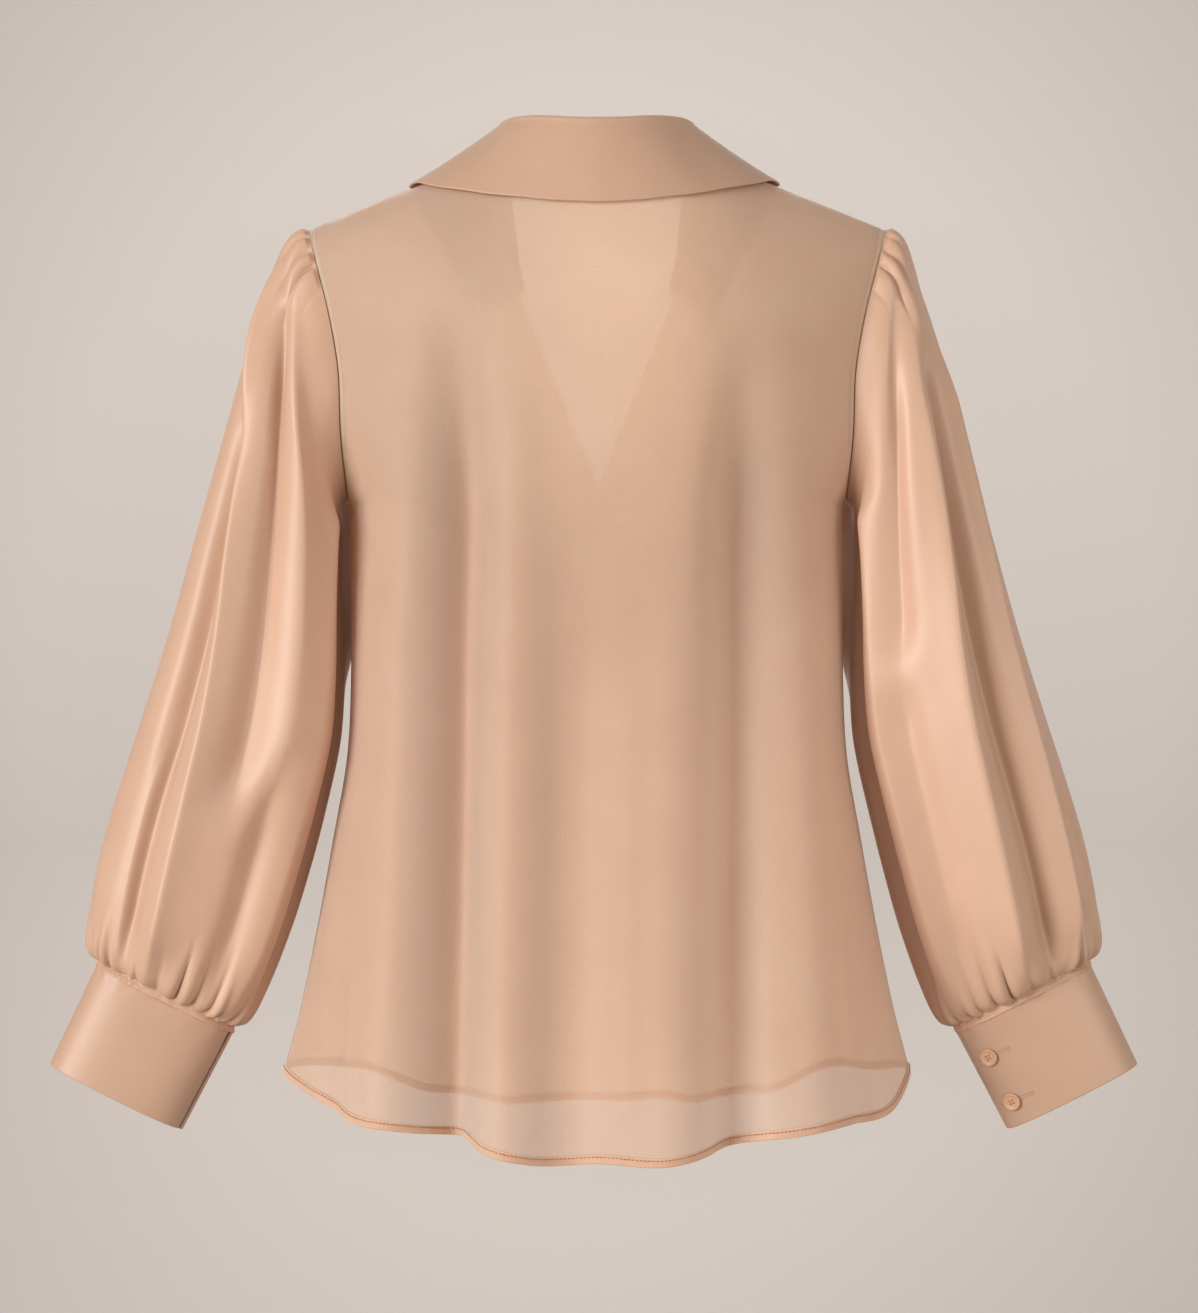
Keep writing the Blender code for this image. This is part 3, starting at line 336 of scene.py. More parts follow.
# A sleeve fold runs from head_angle to cuff_angle round the sleeve (0 outer, 90 back, 180 inner, 270 front).
# sweep says how soon it gets there, start and end how much of the sleeve's length it has, and sharp is 0
# for a soft swell and 1 for a crest like a pressed edge.
SLEEVE_FOLD_COLUMNS = "head_angle cuff_angle sweep start end width depth sharp"
SLEEVE_FOLDS = {
    "left": table(
        SLEEVE_FOLD_COLUMNS,
        (5, 77, 0.25, 0.02, 1.00, 12, 0.0065, 0.9),
        (20, 118, 0.10, 0.03, 0.80, 17, 0.0055, 0.6),
        (30, 56, 0.30, 0.16, 0.99, 9, -0.0082, 0.3),
        (15, 99, 0.14, 0.03, 0.78, 12, -0.0080, 0.2),
        (30, 52, 0.50, 0.62, 1.00, 7, 0.0045, 0.9),
        (120, 119, 0.50, 0.62, 1.00, 8, -0.0050, 0.2),
        (147, 139, 0.50, 0.08, 1.00, 17, 0.0055, 0.7),
        (168, 164, 0.50, 0.08, 0.99, 9, -0.0070, 0.2),
        (350, 285, 0.20, 0.05, 1.00, 14, 0.0055, 0.6),
        (330, 250, 0.15, 0.10, 0.90, 15, -0.0055, 0.2),
        (300, 225, 0.15, 0.15, 0.80, 15, 0.0045, 0.4),
        (330, 312, 0.30, 0.40, 1.00, 10, -0.0050, 0.2),
    ),
    "right": table(
        SLEEVE_FOLD_COLUMNS,
        (25, 86, 0.30, 0.02, 1.00, 13, 0.0065, 0.8),
        (28, 65, 0.20, 0.06, 1.00, 9, -0.0088, 0.3),
        (12, 43, 0.50, 0.12, 1.00, 10, 0.0036, 0.9),
        (20, 117, 0.10, 0.03, 0.55, 13, -0.0050, 0.2),
        (110, 122, 0.50, 0.50, 1.00, 13, -0.0050, 0.2),
        (144, 134, 0.50, 0.08, 1.00, 15, 0.0050, 0.7),
        (164, 158, 0.50, 0.08, 0.99, 9, -0.0070, 0.2),
        (20, 30, 0.50, 0.66, 1.00, 7, -0.0045, 0.2),
        (345, 278, 0.20, 0.05, 1.00, 13, 0.0055, 0.6),
        (330, 300, 0.20, 0.15, 1.00, 10, -0.0055, 0.2),
        (310, 240, 0.15, 0.10, 0.85, 16, -0.0045, 0.2),
        (300, 215, 0.15, 0.20, 0.80, 14, 0.0040, 0.4),
    ),
}
FOLD_END_FADE = 0.12
CREST_ROUNDING, CREST_STEEPNESS = 0.12, 1.25

# ---------------------------------------- cuffs
CUFF_TOP = (0.2925, -0.5690)
CUFF_TILT = 26.5
CUFF_LENGTH = 0.0750
CUFF_HALF_WIDTH = (0.0500, 0.0484)
CUFF_HALF_DEPTH = (0.0260, 0.0245)
CUFF_POWER = 2.5
CUFF_LIFT = 0.0024
CUFF_LIFT_RAMP = 55.0
UNDER_LIFT = 0.0009
CUFF_STEPS = 300
CUFF_ROWS = 34
CUFF_ROUND_ROWS = (0.0, 0.003, 0.008, 0.014)
CUFF_ROUND_ANGLES = (0.0, 0.3, 0.8, 1.4)
CUFF_EVEN_FROM = 2.2
CUFF_GIRTH = 0.26
CUFF_PUCKERS = 46
CUFF_PUCKER_DEPTH = 0.00030
CUFF_PUCKER_REACH = 0.16
CUFF_PUCKERS_IN = 0.03
CUFF_PUCKER_REACH_WAVES = ((6, 0.3, 0.5), (13, 0.3, 2.0))
CUFF_PUCKER_WAVES = ((5, 0.5, 1.0),)
SLEEVE_CUFF_GAP = 0.0001
# The sleeve's end laps the cuff's top edge by SEAM_LAP and stands SEAM_STAND off it. In the notches between
# its gathers it is drawn up by twice the lap, and in.
SEAM_LAP = 0.0008
SEAM_STAND = 0.0004
SEAM_DRAWN_IN = 0.0012
SEAM_REACH_SLEEVE = 0.009

CuffLap = namedtuple("CuffLap", "end_angle turn overlap button_angle")
CUFF_LAPS = {"left": CuffLap(168.0, 1, 62.0, 211.0), "right": CuffLap(159.0, -1, 42.0, 136.0)}

# ---------------------------------------- buttons, buttonholes and stitches
BUTTON_RADIUS = 0.0060
BUTTON_PLACES = (0.0243, 0.0580)
BUTTON_SIDES = 48
BUTTON_SHARP_ANGLE = 40.0
BUTTON_HOLE_RADIUS = 0.00062
BUTTON_HOLE_REACH = 0.0017
BUTTON_HOLE_SIDES = 16
BUTTON_PROFILE = table(
    "radius height",
    (0.0050, 0.0000),
    (0.0056, 0.0002),
    (0.0059, 0.0007),
    (0.0060, 0.0013),
    (0.0059, 0.0018),
    (0.0056, 0.0022),
    (0.0052, 0.0023),
    (0.0048, 0.0022),
    (0.0044, 0.0018),
    (0.0040, 0.0016),
    (0.0030, 0.00155),
)
THREAD_RADIUS = 0.00028
# A strand of the button's thread: shares of its way from hole to hole, and its height over the button's face.
STRAND_SHARES = (0.0, 0.02, 0.25, 0.75, 0.98, 1.0)
STRAND_SUNK, STRAND_RAISED = -0.0009, 0.0003
BUTTONHOLE_LENGTH = 0.0195
BUTTONHOLE_HALF_WIDTH = 0.0009
BUTTONHOLE_SHIFT = 0.0022
# The cuff's radius where the buttonholes are, as a share of its half width.
BUTTONHOLE_BEND = 0.62
LIP_LIFT, BAR_LIFT = 0.0001, 0.0002
# Pitch, length and width of the close stitches round a buttonhole.
BUTTONHOLE_STITCH = (0.00045, 0.00062, 0.00075)
BUTTONHOLE_SEED_STEP = 20
# Shares of the hem's depth and of the thread's width.
HEM_STITCH_PLACE, HEM_STITCH_LIFT, HEM_STITCH_WIDER = 0.75, 0.3, 1.8
CUFF_STITCH_LIFT, CUFF_STITCH_FINER = 0.2, 0.8
CUFF_STITCH_FROM = 3.0

# ---------------------------------------- stage
CAMERA_PLACE = (-0.00135, 3.2, -0.339)
CAMERA_LENS = 129.6
CAMERA_SENSOR = 36.0
FLOOR_Z = -1.25
BOWL_FLAT_RADIUS = 1.8
BOWL_BEND_RADIUS = 3.6
BOWL_HEIGHT = 7.0
BOWL_SIDES = 96
# Painted shade: the wall is painted darker away from the middle of the picture, from this slope to that one,
# by this factor.
SHADE_FROM, SHADE_TO, SHADE_DEPTH = 0.120, 0.200, 0.78
# Painted light: the foot of the picture, where the floor's bend takes less lamp light, is painted a little
# paler, from this slope down to that one, by this factor.
FOOT_FROM, FOOT_TO, FOOT_PALE = -0.04, -0.15, 1.52
# Painted shade also makes it a little darker to the side on which more lamp light falls, and paler to the
# other.
SIDE_REACH, SIDE_DARK, SIDE_PALE = 0.14, 0.87, 1.06
# All of that painted shade and light is on the wall before the blouse's front, and the rest of the bowl is
# one plain tone.
SHADED_FROM, PLAIN_FROM, PLAIN_DEPTH = -2.4, -0.6, 0.88
KEY_FROM = (0.76, 0.61, 0.15)
FILL_FROM = (-0.68, 0.70, 0.15)
FRONT_FROM = (0.08, -0.95, 0.25)
LAMP_COLOUR = (1.0, 0.985, 0.965)
SKY_COLOUR = (1.0, 0.965, 0.93, 1.0)


# ---------------------------------------- small tools
def smooth(low, high, value):
    """0 below low, 1 above high, and an even S between them."""
    part = np.clip((value - low) / (high - low), 0.0, 1.0)
    return part * part * (3.0 - 2.0 * part)


def read(rows, key, column, at):
    """A smooth curve through one column of a table, read wherever it is asked."""
    keys = np.array([getattr(row, key) for row in rows])
    values = np.array([getattr(row, column) for row in rows])
    slopes = np.gradient(values, keys)
    at = np.clip(np.asarray(at, float), keys[0], keys[-1])
    low = np.clip(np.searchsorted(keys, at) - 1, 0, len(keys) - 2)
    span = keys[low + 1] - keys[low]
    t = (at - keys[low]) / span
    from_low = (1 + 2 * t) * (1 - t) ** 2 * values[low] + t * (1 - t) ** 2 * span * slopes[low]
    from_high = t * t * (3 - 2 * t) * values[low + 1] + t * t * (t - 1) * span * slopes[low + 1]
    return from_low + from_high


def unit(vectors):
    return vectors / np.linalg.norm(vectors, axis=-1, keepdims=True)


def normals_of(grid, round_tube=False):
    """The normals of a grid of points: rows first, then columns, which close on themselves in a tube."""
    if round_tube:
        across = np.roll(grid, -1, axis=1) - np.roll(grid, 1, axis=1)
    else:
        across = np.gradient(grid, axis=1)
    return unit(np.cross(across, np.gradient(grid, axis=0)))


def run_lengths(grid, axis):
    """How far along its row or column each point of a grid lies."""
    steps = np.linalg.norm(np.diff(grid, axis=axis), axis=-1)
    start = np.zeros_like(np.take(steps, [0], axis=axis))
    return np.concatenate([start, np.cumsum(steps, axis=axis)], axis=axis)


def rounded(distance, reach):
    """The share of its thickness that cloth has near a turned edge."""
    part = np.clip(distance / reach, 0.0, 1.0)
    return TURNED_LEAST + (1 - TURNED_LEAST) * np.sqrt(1 - (1 - part) ** 2)


# ---------------------------------------- the body's form
def ridge_z(across):
    """The height of the shoulder line, carried on over the neck opening."""
    x = np.abs(across) * SHOULDER_HALF
    over_neck = NECK_RISE * (1 - (x / NECK_HALF) ** 2)
    slope = SHOULDER_DROP / (SHOULDER_HALF - NECK_HALF)
    return np.where(x < NECK_HALF, over_neck, -(x - NECK_HALF) * slope)


def armhole_depth(across, z):
    """How far a panel's side edge stands behind or before the side line: nothing below the underarm.

    Away from the edge the same depth comes in softly from further down, so that no crease runs across.
    """
    fall = np.clip((ARMHOLE_ROUND_TOP - z) / (ARMHOLE_ROUND_TOP - UNDERARM_Z), 0.0, 1.0)
    at_edge = np.sqrt(1 - fall * fall)
    inside = smooth(ARMHOLE_SOFT_FROM, ARMHOLE_ROUND_TOP, z)
    return ARMHOLE_HALF_DEPTH * (inside + (at_edge - inside) * np.abs(across) ** ARMHOLE_EDGE_POWER)


def depth_at(panel, across, z):
    edge = armhole_depth(across, z)
    full = read(BODY, "z", panel.name, z)
    blend = smooth(ROUNDING_FROM, ROUNDING_TO, z)
    rounding = SIDE_ROUNDING + (ARMHOLE_ROUNDING - SIDE_ROUNDING) * blend
    return edge + (full - edge) * (1 - np.abs(across) ** SECTION_POWER) ** rounding


def climb_of(panel, across, z):
    """A panel's own height scale: 0 where the cap over the shoulder starts, a quarter turn at the ridge."""
    share = (z - panel.cap_z) / (ridge_z(across) - panel.cap_z)
    return np.where(share < 0, share, np.arcsin(np.clip(share, 0.0, 1.0)))


def body_point(panel, across, climb):
    """A point of the body's smooth form. across runs from -1 at one side edge to 1 at the other."""
    cap = np.clip(climb, 0.0, None)
    rise = ridge_z(across) - panel.cap_z
    z = panel.cap_z + rise * np.where(climb < 0, climb, np.sin(cap))
    end_rise = -SHOULDER_DROP - panel.cap_z
    width_z = np.where(climb < 0, z, panel.cap_z + end_rise * np.sin(cap))
    depth = depth_at(panel, across, np.minimum(z, panel.cap_z)) * np.cos(cap)
    x = across * read(BODY, "z", "half_width", width_z)
    return np.stack([x, panel.facing * (depth + SEAM_GAP / 2), z], axis=-1)


def body_normal(panel, across, climb):
    """The outward normal of the smooth form."""
    here = body_point(panel, across, climb)
    inward = np.where(across > 0, -NORMAL_STEP, NORMAL_STEP)
    sideways = (body_point(panel, across + inward, climb) - here) * np.sign(inward)[..., None]
    upwards = here - body_point(panel, across, climb - NORMAL_STEP)
    return unit(np.cross(sideways, upwards)) * -panel.facing


def v_edge_z(x):
    """The height of the V neck's edge: straight up from its point, then turning up to the shoulder."""
    slope = (V_STRAIGHT_TOP + V_DEPTH) / V_STRAIGHT_HALF
    past = np.clip((x - V_STRAIGHT_HALF) / (NECK_HALF - V_STRAIGHT_HALF), 0.0, 1.0)
    straight = -V_DEPTH + slope * np.minimum(x, V_STRAIGHT_HALF)
    run_on = slope * (NECK_HALF - V_STRAIGHT_HALF)
    return straight + run_on * past - (V_STRAIGHT_TOP + run_on) * (1 - np.sqrt(1 - past * past))


def neck_x(panel, share):
    """How far out a neckline point stands: share is 0 in the middle and 1 at the shoulder seam."""
    if panel is BACK:
        return NECK_HALF * np.sin(share * math.pi / 2)
    lowest = (V_DEPTH + panel.cap_z) / panel.cap_z
    climb = lowest + (math.pi / 2 - lowest) * share
    z = panel.cap_z * (1 - np.where(climb < 0, climb, np.sin(climb)))
    x = NECK_HALF * np.sin(np.linspace(0, math.pi / 2, V_EDGE_SAMPLES))
    return np.interp(z, v_edge_z(x), x)


def neck_top(panel, across):
    """The climb at which a column of the panel ends: on the neckline, or else on the shoulder seam."""
    x = np.minimum(np.abs(across) * SHOULDER_HALF, NECK_HALF)
    if panel is BACK:
        depth = BACK_NECK_DEPTH * np.sqrt(1 - (x / NECK_HALF) ** 2)
        return np.arccos(depth / depth_at(panel, across, panel.cap_z))
    return np.where(x < NECK_HALF, climb_of(panel, across, v_edge_z(x)), math.pi / 2)


def body_folds(panel, x, z):
    """How far the cloth stands out from the smooth form at a point of a panel."""
    total = np.zeros_like(z)
    for fold in FOLDS[panel.name]:
        down = np.clip((fold.z_start - z) / (fold.z_start + V_DEPTH * 3), 0.0, 1.2)
        middle = fold.x_high + (fold.x_low - fold.x_high) * down
        strength = smooth(0.0, FOLD_FADE, fold.z_start - z) * (1 + HEM_FOLD_GAIN * down)
        total = total + fold.depth * strength * np.exp(-(((x - middle) / fold.half_width) ** 2))
    return total


def body_creases(panel, x, z):
    """The slight creases, each one faded in and out along its own line."""
    total = np.zeros_like(z)
    for crease in CREASES[panel.name]:
        line = np.array([crease.x_low - crease.x_high, crease.z_low - crease.z_high])
        length = np.linalg.norm(line)
        run_x, run_z = line / length
        along = ((x - crease.x_high) * run_x + (z - crease.z_high) * run_z) / length
        off = (x - crease.x_high) * run_z - (z - crease.z_high) * run_x
        faded = smooth(*CREASE_FADES_IN, along) * (1 - smooth(*CREASE_FADES_OUT, along))
        total = total + crease.depth * faded * np.exp(-((off / crease.half_width) ** 2))
    return total


def both_sides(half):
    return np.concatenate([-half[:0:-1], half])


def top_columns(panel):
    """The across values of a panel's columns along its top edge, even along the neckline."""
    neck_share = NECK_HALF / SHOULDER_HALF
    neck = neck_x(panel, np.arange(NECK_COLUMNS + 1) / NECK_COLUMNS) / SHOULDER_HALF
    turns = np.arange(1, SHOULDER_COLUMNS + 1) / SHOULDER_COLUMNS * math.pi / 2
    return both_sides(np.concatenate([neck, neck_share + (1 - neck_share) * np.sin(turns)]))


def low_columns():
    """The across values of the same columns below the armholes, where the folds need them even."""
    columns = NECK_COLUMNS + SHOULDER_COLUMNS
    return both_sides(np.sin(np.arange(columns + 1) / columns * math.pi / 2))


def panel_rows(panel):
    """(across, climb) of a panel's points, hem first: straight up to the underarm, then even climbs."""
    low, top = low_columns(), top_columns(panel)
    hem_z = read(HEM, "across", panel.name, low)
    split_z = UNDERARM_Z - CENTRE_SPLIT_DROP * (1 - np.abs(low))
    band = hem_z + np.array(HEM_ROWS)[:, None]
    steps = np.linspace(0.0, 1.0, LOWER_ROWS + 1)[1:, None]
    above_hem = band[-1] + (split_z - band[-1]) * steps
    lower = climb_of(panel, low, np.vstack([band, above_hem]))
    steps = np.linspace(0.0, 1.0, UPPER_ROWS + 1)[1:, None]
    upper = lower[-1] + (neck_top(panel, top) - lower[-1]) * steps
    shift = smooth(COLUMNS_SHIFT_FROM, 1.0, steps)
    across = np.vstack([np.broadcast_to(low, lower.shape), low + (top - low) * shift])
    return across, np.vstack([lower, upper])


def panel_grid(panel):
    """(across, form, normals, folds) of one panel."""
    across, climbs = panel_rows(panel)
    form = body_point(panel, across, climbs)
    normals = body_normal(panel, across, climbs)
    columns = NECK_COLUMNS + SHOULDER_COLUMNS
    on_shoulder = np.abs(np.arange(-columns, columns + 1)) >= NECK_COLUMNS
    on_side_seam = form[:, -1, 2] < UNDERARM_Z + SEAM_GAP
    for column in (0, -1):
        normals[on_side_seam, column, 1] = 0.0
    normals[-1, on_shoulder, 1] = 0.0
    edge_fade = smooth(0.0, FOLD_SIDE_FADE, 1 - np.abs(across))
    x, z = form[..., 0], form[..., 2]
    folds = FOLD_GAIN * body_folds(panel, x, z) + body_creases(panel, x, z)
    return across, form, unit(normals), folds * edge_fade


# ---------------------------------------- meshes
def wall_faces(rows, columns, round_tube):
    """The corners of a thin wall's faces, as (row, column, side) with side 0 outside and 1 inside."""
    last = columns if round_tube else columns - 1
    row, column = (part.ravel() for part in np.meshgrid(np.arange(rows - 1), np.arange(last), indexing="ij"))

    def corner(at_row, at_column, side):
        return np.stack([at_row, at_column, np.full_like(at_row, side)], axis=-1)

    def quads(*corners):
        return np.stack(corners, axis=1)

    faces = [
        quads(corner(row, column, 0), corner(row, column + 1, 0),
              corner(row + 1, column + 1, 0), corner(row + 1, column, 0)),
        quads(corner(row, column, 1), corner(row + 1, column, 1),
              corner(row + 1, column + 1, 1), corner(row, column + 1, 1)),
    ]
    edge = np.arange(last)
    for end, turned in ((0, True), (rows - 1, False)):
        at = np.full_like(edge, end)
        after = edge + 1
        rim = quads(corner(at, edge, 0), corner(at, after, 0), corner(at, after, 1), corner(at, edge, 1))
        faces.append(rim[:, ::-1] if turned else rim)
    if not round_tube:
        edge = np.arange(rows - 1)
        for end, turned in ((0, False), (columns - 1, True)):
            at = np.full_like(edge, end)
            after = edge + 1
            rim = quads(corner(edge, at, 0), corner(after, at, 0), corner(after, at, 1), corner(edge, at, 1))
            faces.append(rim[:, ::-1] if turned else rim)
    return np.concatenate(faces)


def mesh_of(name, points, faces):
    mesh = bpy.data.meshes.new(name)
    mesh.vertices.add(len(points))
    mesh.vertices.foreach_set("co", np.ascontiguousarray(points, np.float32).ravel())
    mesh.loops.add(faces.size)
    mesh.loops.foreach_set("vertex_index", np.ascontiguousarray(faces, np.int32).ravel())
    mesh.polygons.add(len(faces))
    mesh.polygons.foreach_set("loop_start", np.arange(len(faces), dtype=np.int32) * faces.shape[1])
    mesh.update(calc_edges=True)
    return mesh


def show(name, mesh, material):
    """Puts a finished piece in the scene, riding on the frame."""
    thing = bpy.data.objects.new(name, mesh)
    if material.name not in mesh.materials:
        mesh.materials.append(material)
    mesh.shade_smooth()
    bpy.context.scene.collection.objects.link(thing)
    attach(thing, "root")
    return thing


def thin_wall(name, outer, inner, material, round_tube=False, marks=None):
    """One closed thin wall between two grids that match one to one, with a UV map in metres of cloth."""
    rows, columns = outer.shape[:2]
    corners = wall_faces(rows, columns, round_tube)
    at_row, at_column, side = corners[..., 0], corners[..., 1], corners[..., 2]
    faces = side * rows * columns + at_row * columns + at_column % columns
    points = np.concatenate([outer.reshape(-1, 3), inner.reshape(-1, 3)])
    mesh = mesh_of(name, points, faces)
    ring = np.concatenate([outer, outer[:, :1]], axis=1) if round_tube else outer
    u = run_lengths(ring, 1)
    u = u - u[:, u.shape[1] // 2][:, None]
    v = run_lengths(ring, 0)
    layer = mesh.uv_layers.new(name="cloth")
    chosen = np.stack([u[at_row, at_column], v[at_row, at_column]], axis=-1)
    layer.data.foreach_set("uv", chosen.astype(np.float32).ravel())
    for mark, values in (marks or {}).items():
        attribute = mesh.attributes.new(mark, "FLOAT", "POINT")
        attribute.data.foreach_set("value", np.tile(values.ravel(), 2).astype(np.float32))
    outward = bmesh.new()
    outward.from_mesh(mesh)
    if outward.calc_volume(signed=True) < 0:
        bmesh.ops.reverse_faces(outward, faces=outward.faces)
        outward.to_mesh(mesh)
    outward.free()
    return show(name, mesh, material)


# ---------------------------------------- materials
def shader_node(tree, kind, **settings):
    node = tree.nodes.new(kind)
    for name, value in settings.items():
        setattr(node, name, value)
    return node


def new_material(name):
    """A material, emptied if an earlier run of the operator has made it, with one Principled shader."""
    material = bpy.data.materials.get(name) or bpy.data.materials.new(name)
    material.use_nodes = True
    tree = material.node_tree
    tree.nodes.clear()
    shader, end = tree.nodes.new("ShaderNodeBsdfPrincipled"), tree.nodes.new("ShaderNodeOutputMaterial")
    tree.links.new(shader.outputs[0], end.inputs["Surface"])
    return material, tree, shader


def maths(tree, operation, first, second):
    """One Math node. Each of the two is a socket or a number."""
    node = shader_node(tree, "ShaderNodeMath", operation=operation)
    for socket, value in zip(node.inputs, (first, second)):
        if isinstance(value, (int, float)):
            socket.default_value = value
        else:
            tree.links.new(value, socket)
    return node.outputs[0]


def scaled_uv(tree, per_metre):
    """The cloth's own UV map, in metres, times a scale."""
    uv = shader_node(tree, "ShaderNodeUVMap", uv_map="cloth")
    scale = shader_node(tree, "ShaderNodeVectorMath", operation="SCALE")
    scale.inputs["Scale"].default_value = per_metre
    tree.links.new(uv.outputs[0], scale.inputs[0])
    return scale.outputs[0]


def noise(tree, place, scale, detail):
    node = shader_node(tree, "ShaderNodeTexNoise")
    finish_with(node, Scale=scale, Detail=detail)
    tree.links.new(place, node.inputs["Vector"])
    return node.outputs["Fac"]


def ramp(tree, value, low, high, low_at=0.3, high_at=0.7):
    """Two colours, blended over a range of a value."""
    node = shader_node(tree, "ShaderNodeValToRGB")
    node.color_ramp.elements[0].position = low_at
    node.color_ramp.elements[0].color = low
    node.color_ramp.elements[1].position = high_at
    node.color_ramp.elements[1].color = high
    tree.links.new(value, node.inputs[0])
    return node.outputs[0]


def mixed(tree, blend, factor, first, second):
    """The first colour blended with the second. The factor and both colours are sockets or values."""
    node = shader_node(tree, "ShaderNodeMix", data_type="RGBA", blend_type=blend)
    for socket, value in (("Factor", factor), ("A", first), ("B", second)):
        if isinstance(value, bpy.types.NodeSocket):
            tree.links.new(value, node.inputs[socket])
        else:
            node.inputs[socket].default_value = value
    return node.outputs["Result"]


def ranged(tree, value, given, wanted, shape="SMOOTHSTEP"):
    """A value carried from one range (low, high) to another."""
    node = shader_node(tree, "ShaderNodeMapRange", interpolation_type=shape)
    tree.links.new(value, node.inputs["Value"])
    for socket, limit in zip(node.inputs[1:5], (*given, *wanted)):
        socket.default_value = limit
    return node.outputs[0]


def object_place(tree):
    """Where a point of the piece is, in metres from the piece's own origin."""
    return shader_node(tree, "ShaderNodeTexCoord").outputs["Object"]


def bumped(tree, shader, height, strength, distance):
    """Raises a shader's surface by a height from 0 to 1."""
    bump = shader_node(tree, "ShaderNodeBump")
    finish_with(bump, Strength=strength, Distance=distance)
    tree.links.new(height, bump.inputs["Height"])
    tree.links.new(bump.outputs[0], shader.inputs["Normal"])


def finish_with(node, **inputs):
    """Sets a node's own sockets. Each space of a socket's name is written _ here."""
    for name, value in inputs.items():
        node.inputs[name.replace("_", " ")].default_value = value


def shade_of(colour, factor):
    return (*(part * factor for part in colour[:3]), 1.0)


def crepe_grain(tree, cloth):
    """The pebbled grain of crepe with its twill-like slant, from 0 to 1."""
    grain = noise(tree, scaled_uv(tree, 1.0 / cloth.grain_pitch), 1.0, 2.0)
    threads = shader_node(tree, "ShaderNodeTexWave", wave_type="BANDS", bands_direction="DIAGONAL")
    finish_with(threads, Scale=1.0, Distortion=2.5, Detail=1.0)
    tree.links.new(scaled_uv(tree, TWILL_SCALE / cloth.grain_pitch), threads.inputs["Vector"])
    slanted = maths(tree, "MULTIPLY", threads.outputs["Fac"], TWILL_SHARE)
    return maths(tree, "ADD", maths(tree, "MULTIPLY", grain, 1 - TWILL_SHARE), slanted)


def dress_crepe(tree, shader, colour, cloth, roughness):
    """Colour, roughness and bump of crepe on a Principled shader."""
    grain = crepe_grain(tree, cloth)
    clouds = noise(tree, scaled_uv(tree, 1.0), CLOUDS_PER_METRE, 3.0)
    clouded = ramp(tree, clouds, *(shade_of(colour, depth) for depth in CLOUD_SHADES))
    grained = ramp(tree, grain, *GRAIN_SHADES)
    tree.links.new(mixed(tree, "MULTIPLY", 1.0, clouded, grained), shader.inputs["Base Color"])
    rough = maths(tree, "MULTIPLY", grain, GRAIN_ROUGHNESS)
    rough = maths(tree, "ADD", rough, roughness - GRAIN_ROUGHNESS / 2)
    tree.links.new(rough, shader.inputs["Roughness"])
    bumped(tree, shader, grain, GRAIN_BUMP, cloth.grain_depth)


def satin_crepe(name, depth):
    """Close-woven crepe with a soft gloss, for the sleeves, and deeper in colour where it is doubled."""
    cloth, colours = bpy.context.scene.blouse_cloth, bpy.context.scene.blouse_colours
    material, tree, shader = new_material(name)
    dress_crepe(tree, shader, shade_of(colours.crepe, depth), cloth, 0.45)
    finish_with(shader, Specular_IOR_Level=0.42, Sheen_Weight=0.12, Sheen_Roughness=0.45)
    finish_with(shader, Sheen_Tint=(1.0, 0.86, 0.76, 1.0))
    return material


def band(tree, mark, width):
    """1 within a width of the edge that a mark measures from, and 0 further in."""
    gap = shader_node(tree, "ShaderNodeAttribute", attribute_name=mark)
    return maths(tree, "LESS_THAN", gap.outputs["Fac"], width)


def sheer_crepe():
    """The body's sheer crepe: one layer lets some light through, and its hem and seams are several layers."""
    cloth, colours = bpy.context.scene.blouse_cloth, bpy.context.scene.blouse_colours
    material, tree, shader = new_material("sheer crepe")
    dress_crepe(tree, shader, tuple(colours.sheer), cloth, 0.56)
    finish_with(shader, Specular_IOR_Level=0.25, Sheen_Weight=0.20, Sheen_Roughness=0.50)
    finish_with(shader, Sheen_Tint=(1.0, 0.88, 0.78, 1.0), Subsurface_Weight=1.0)
    finish_with(shader, Subsurface_Scale=cloth.glow_depth, Subsurface_Radius=(1.0, 0.75, 0.6))
    hem, side = band(tree, "hem_gap", HEM_DEPTH), band(tree, "side_gap", cloth.seam_width)
    folded = maths(tree, "MAXIMUM", hem, side)
    folded = maths(tree, "MAXIMUM", folded, band(tree, "top_gap", cloth.seam_width))
    plain = shader.inputs["Base Color"].links[0].from_socket
    tree.links.new(mixed(tree, "MULTIPLY", folded, plain, FOLDED_SHADE), shader.inputs["Base Color"])
    one_face = 1 - math.sqrt(1 - cloth.sheer_opacity)
    top_face = 1 - math.sqrt(1 - cloth.shoulder_opacity)
    hem_face = 1 - math.sqrt((1 - cloth.sheer_opacity) ** 3)
    place = shader_node(tree, "ShaderNodeSeparateXYZ")
    tree.links.new(object_place(tree), place.inputs[0])
    layer = ranged(tree, place.outputs["Z"], DENSER_BETWEEN, (one_face, top_face))
    pores = maths(tree, "MULTIPLY", crepe_grain(tree, cloth), PORES)
    opacity = maths(tree, "MAXIMUM", layer, maths(tree, "MULTIPLY", folded, hem_face))
    opacity = maths(tree, "ADD", maths(tree, "SUBTRACT", opacity, PORES / 2), pores)
    tree.links.new(opacity, shader.inputs["Alpha"])
    return material


def sewing_thread(name, colour):
    material, tree, shader = new_material(name)
    twist = noise(tree, object_place(tree), 2400.0, 1.0)
    shades = ramp(tree, twist, shade_of(colour, 0.82), shade_of(colour, 1.12))
    tree.links.new(shades, shader.inputs["Base Color"])
    finish_with(shader, Roughness=0.48, Sheen_Weight=0.25)
    return material


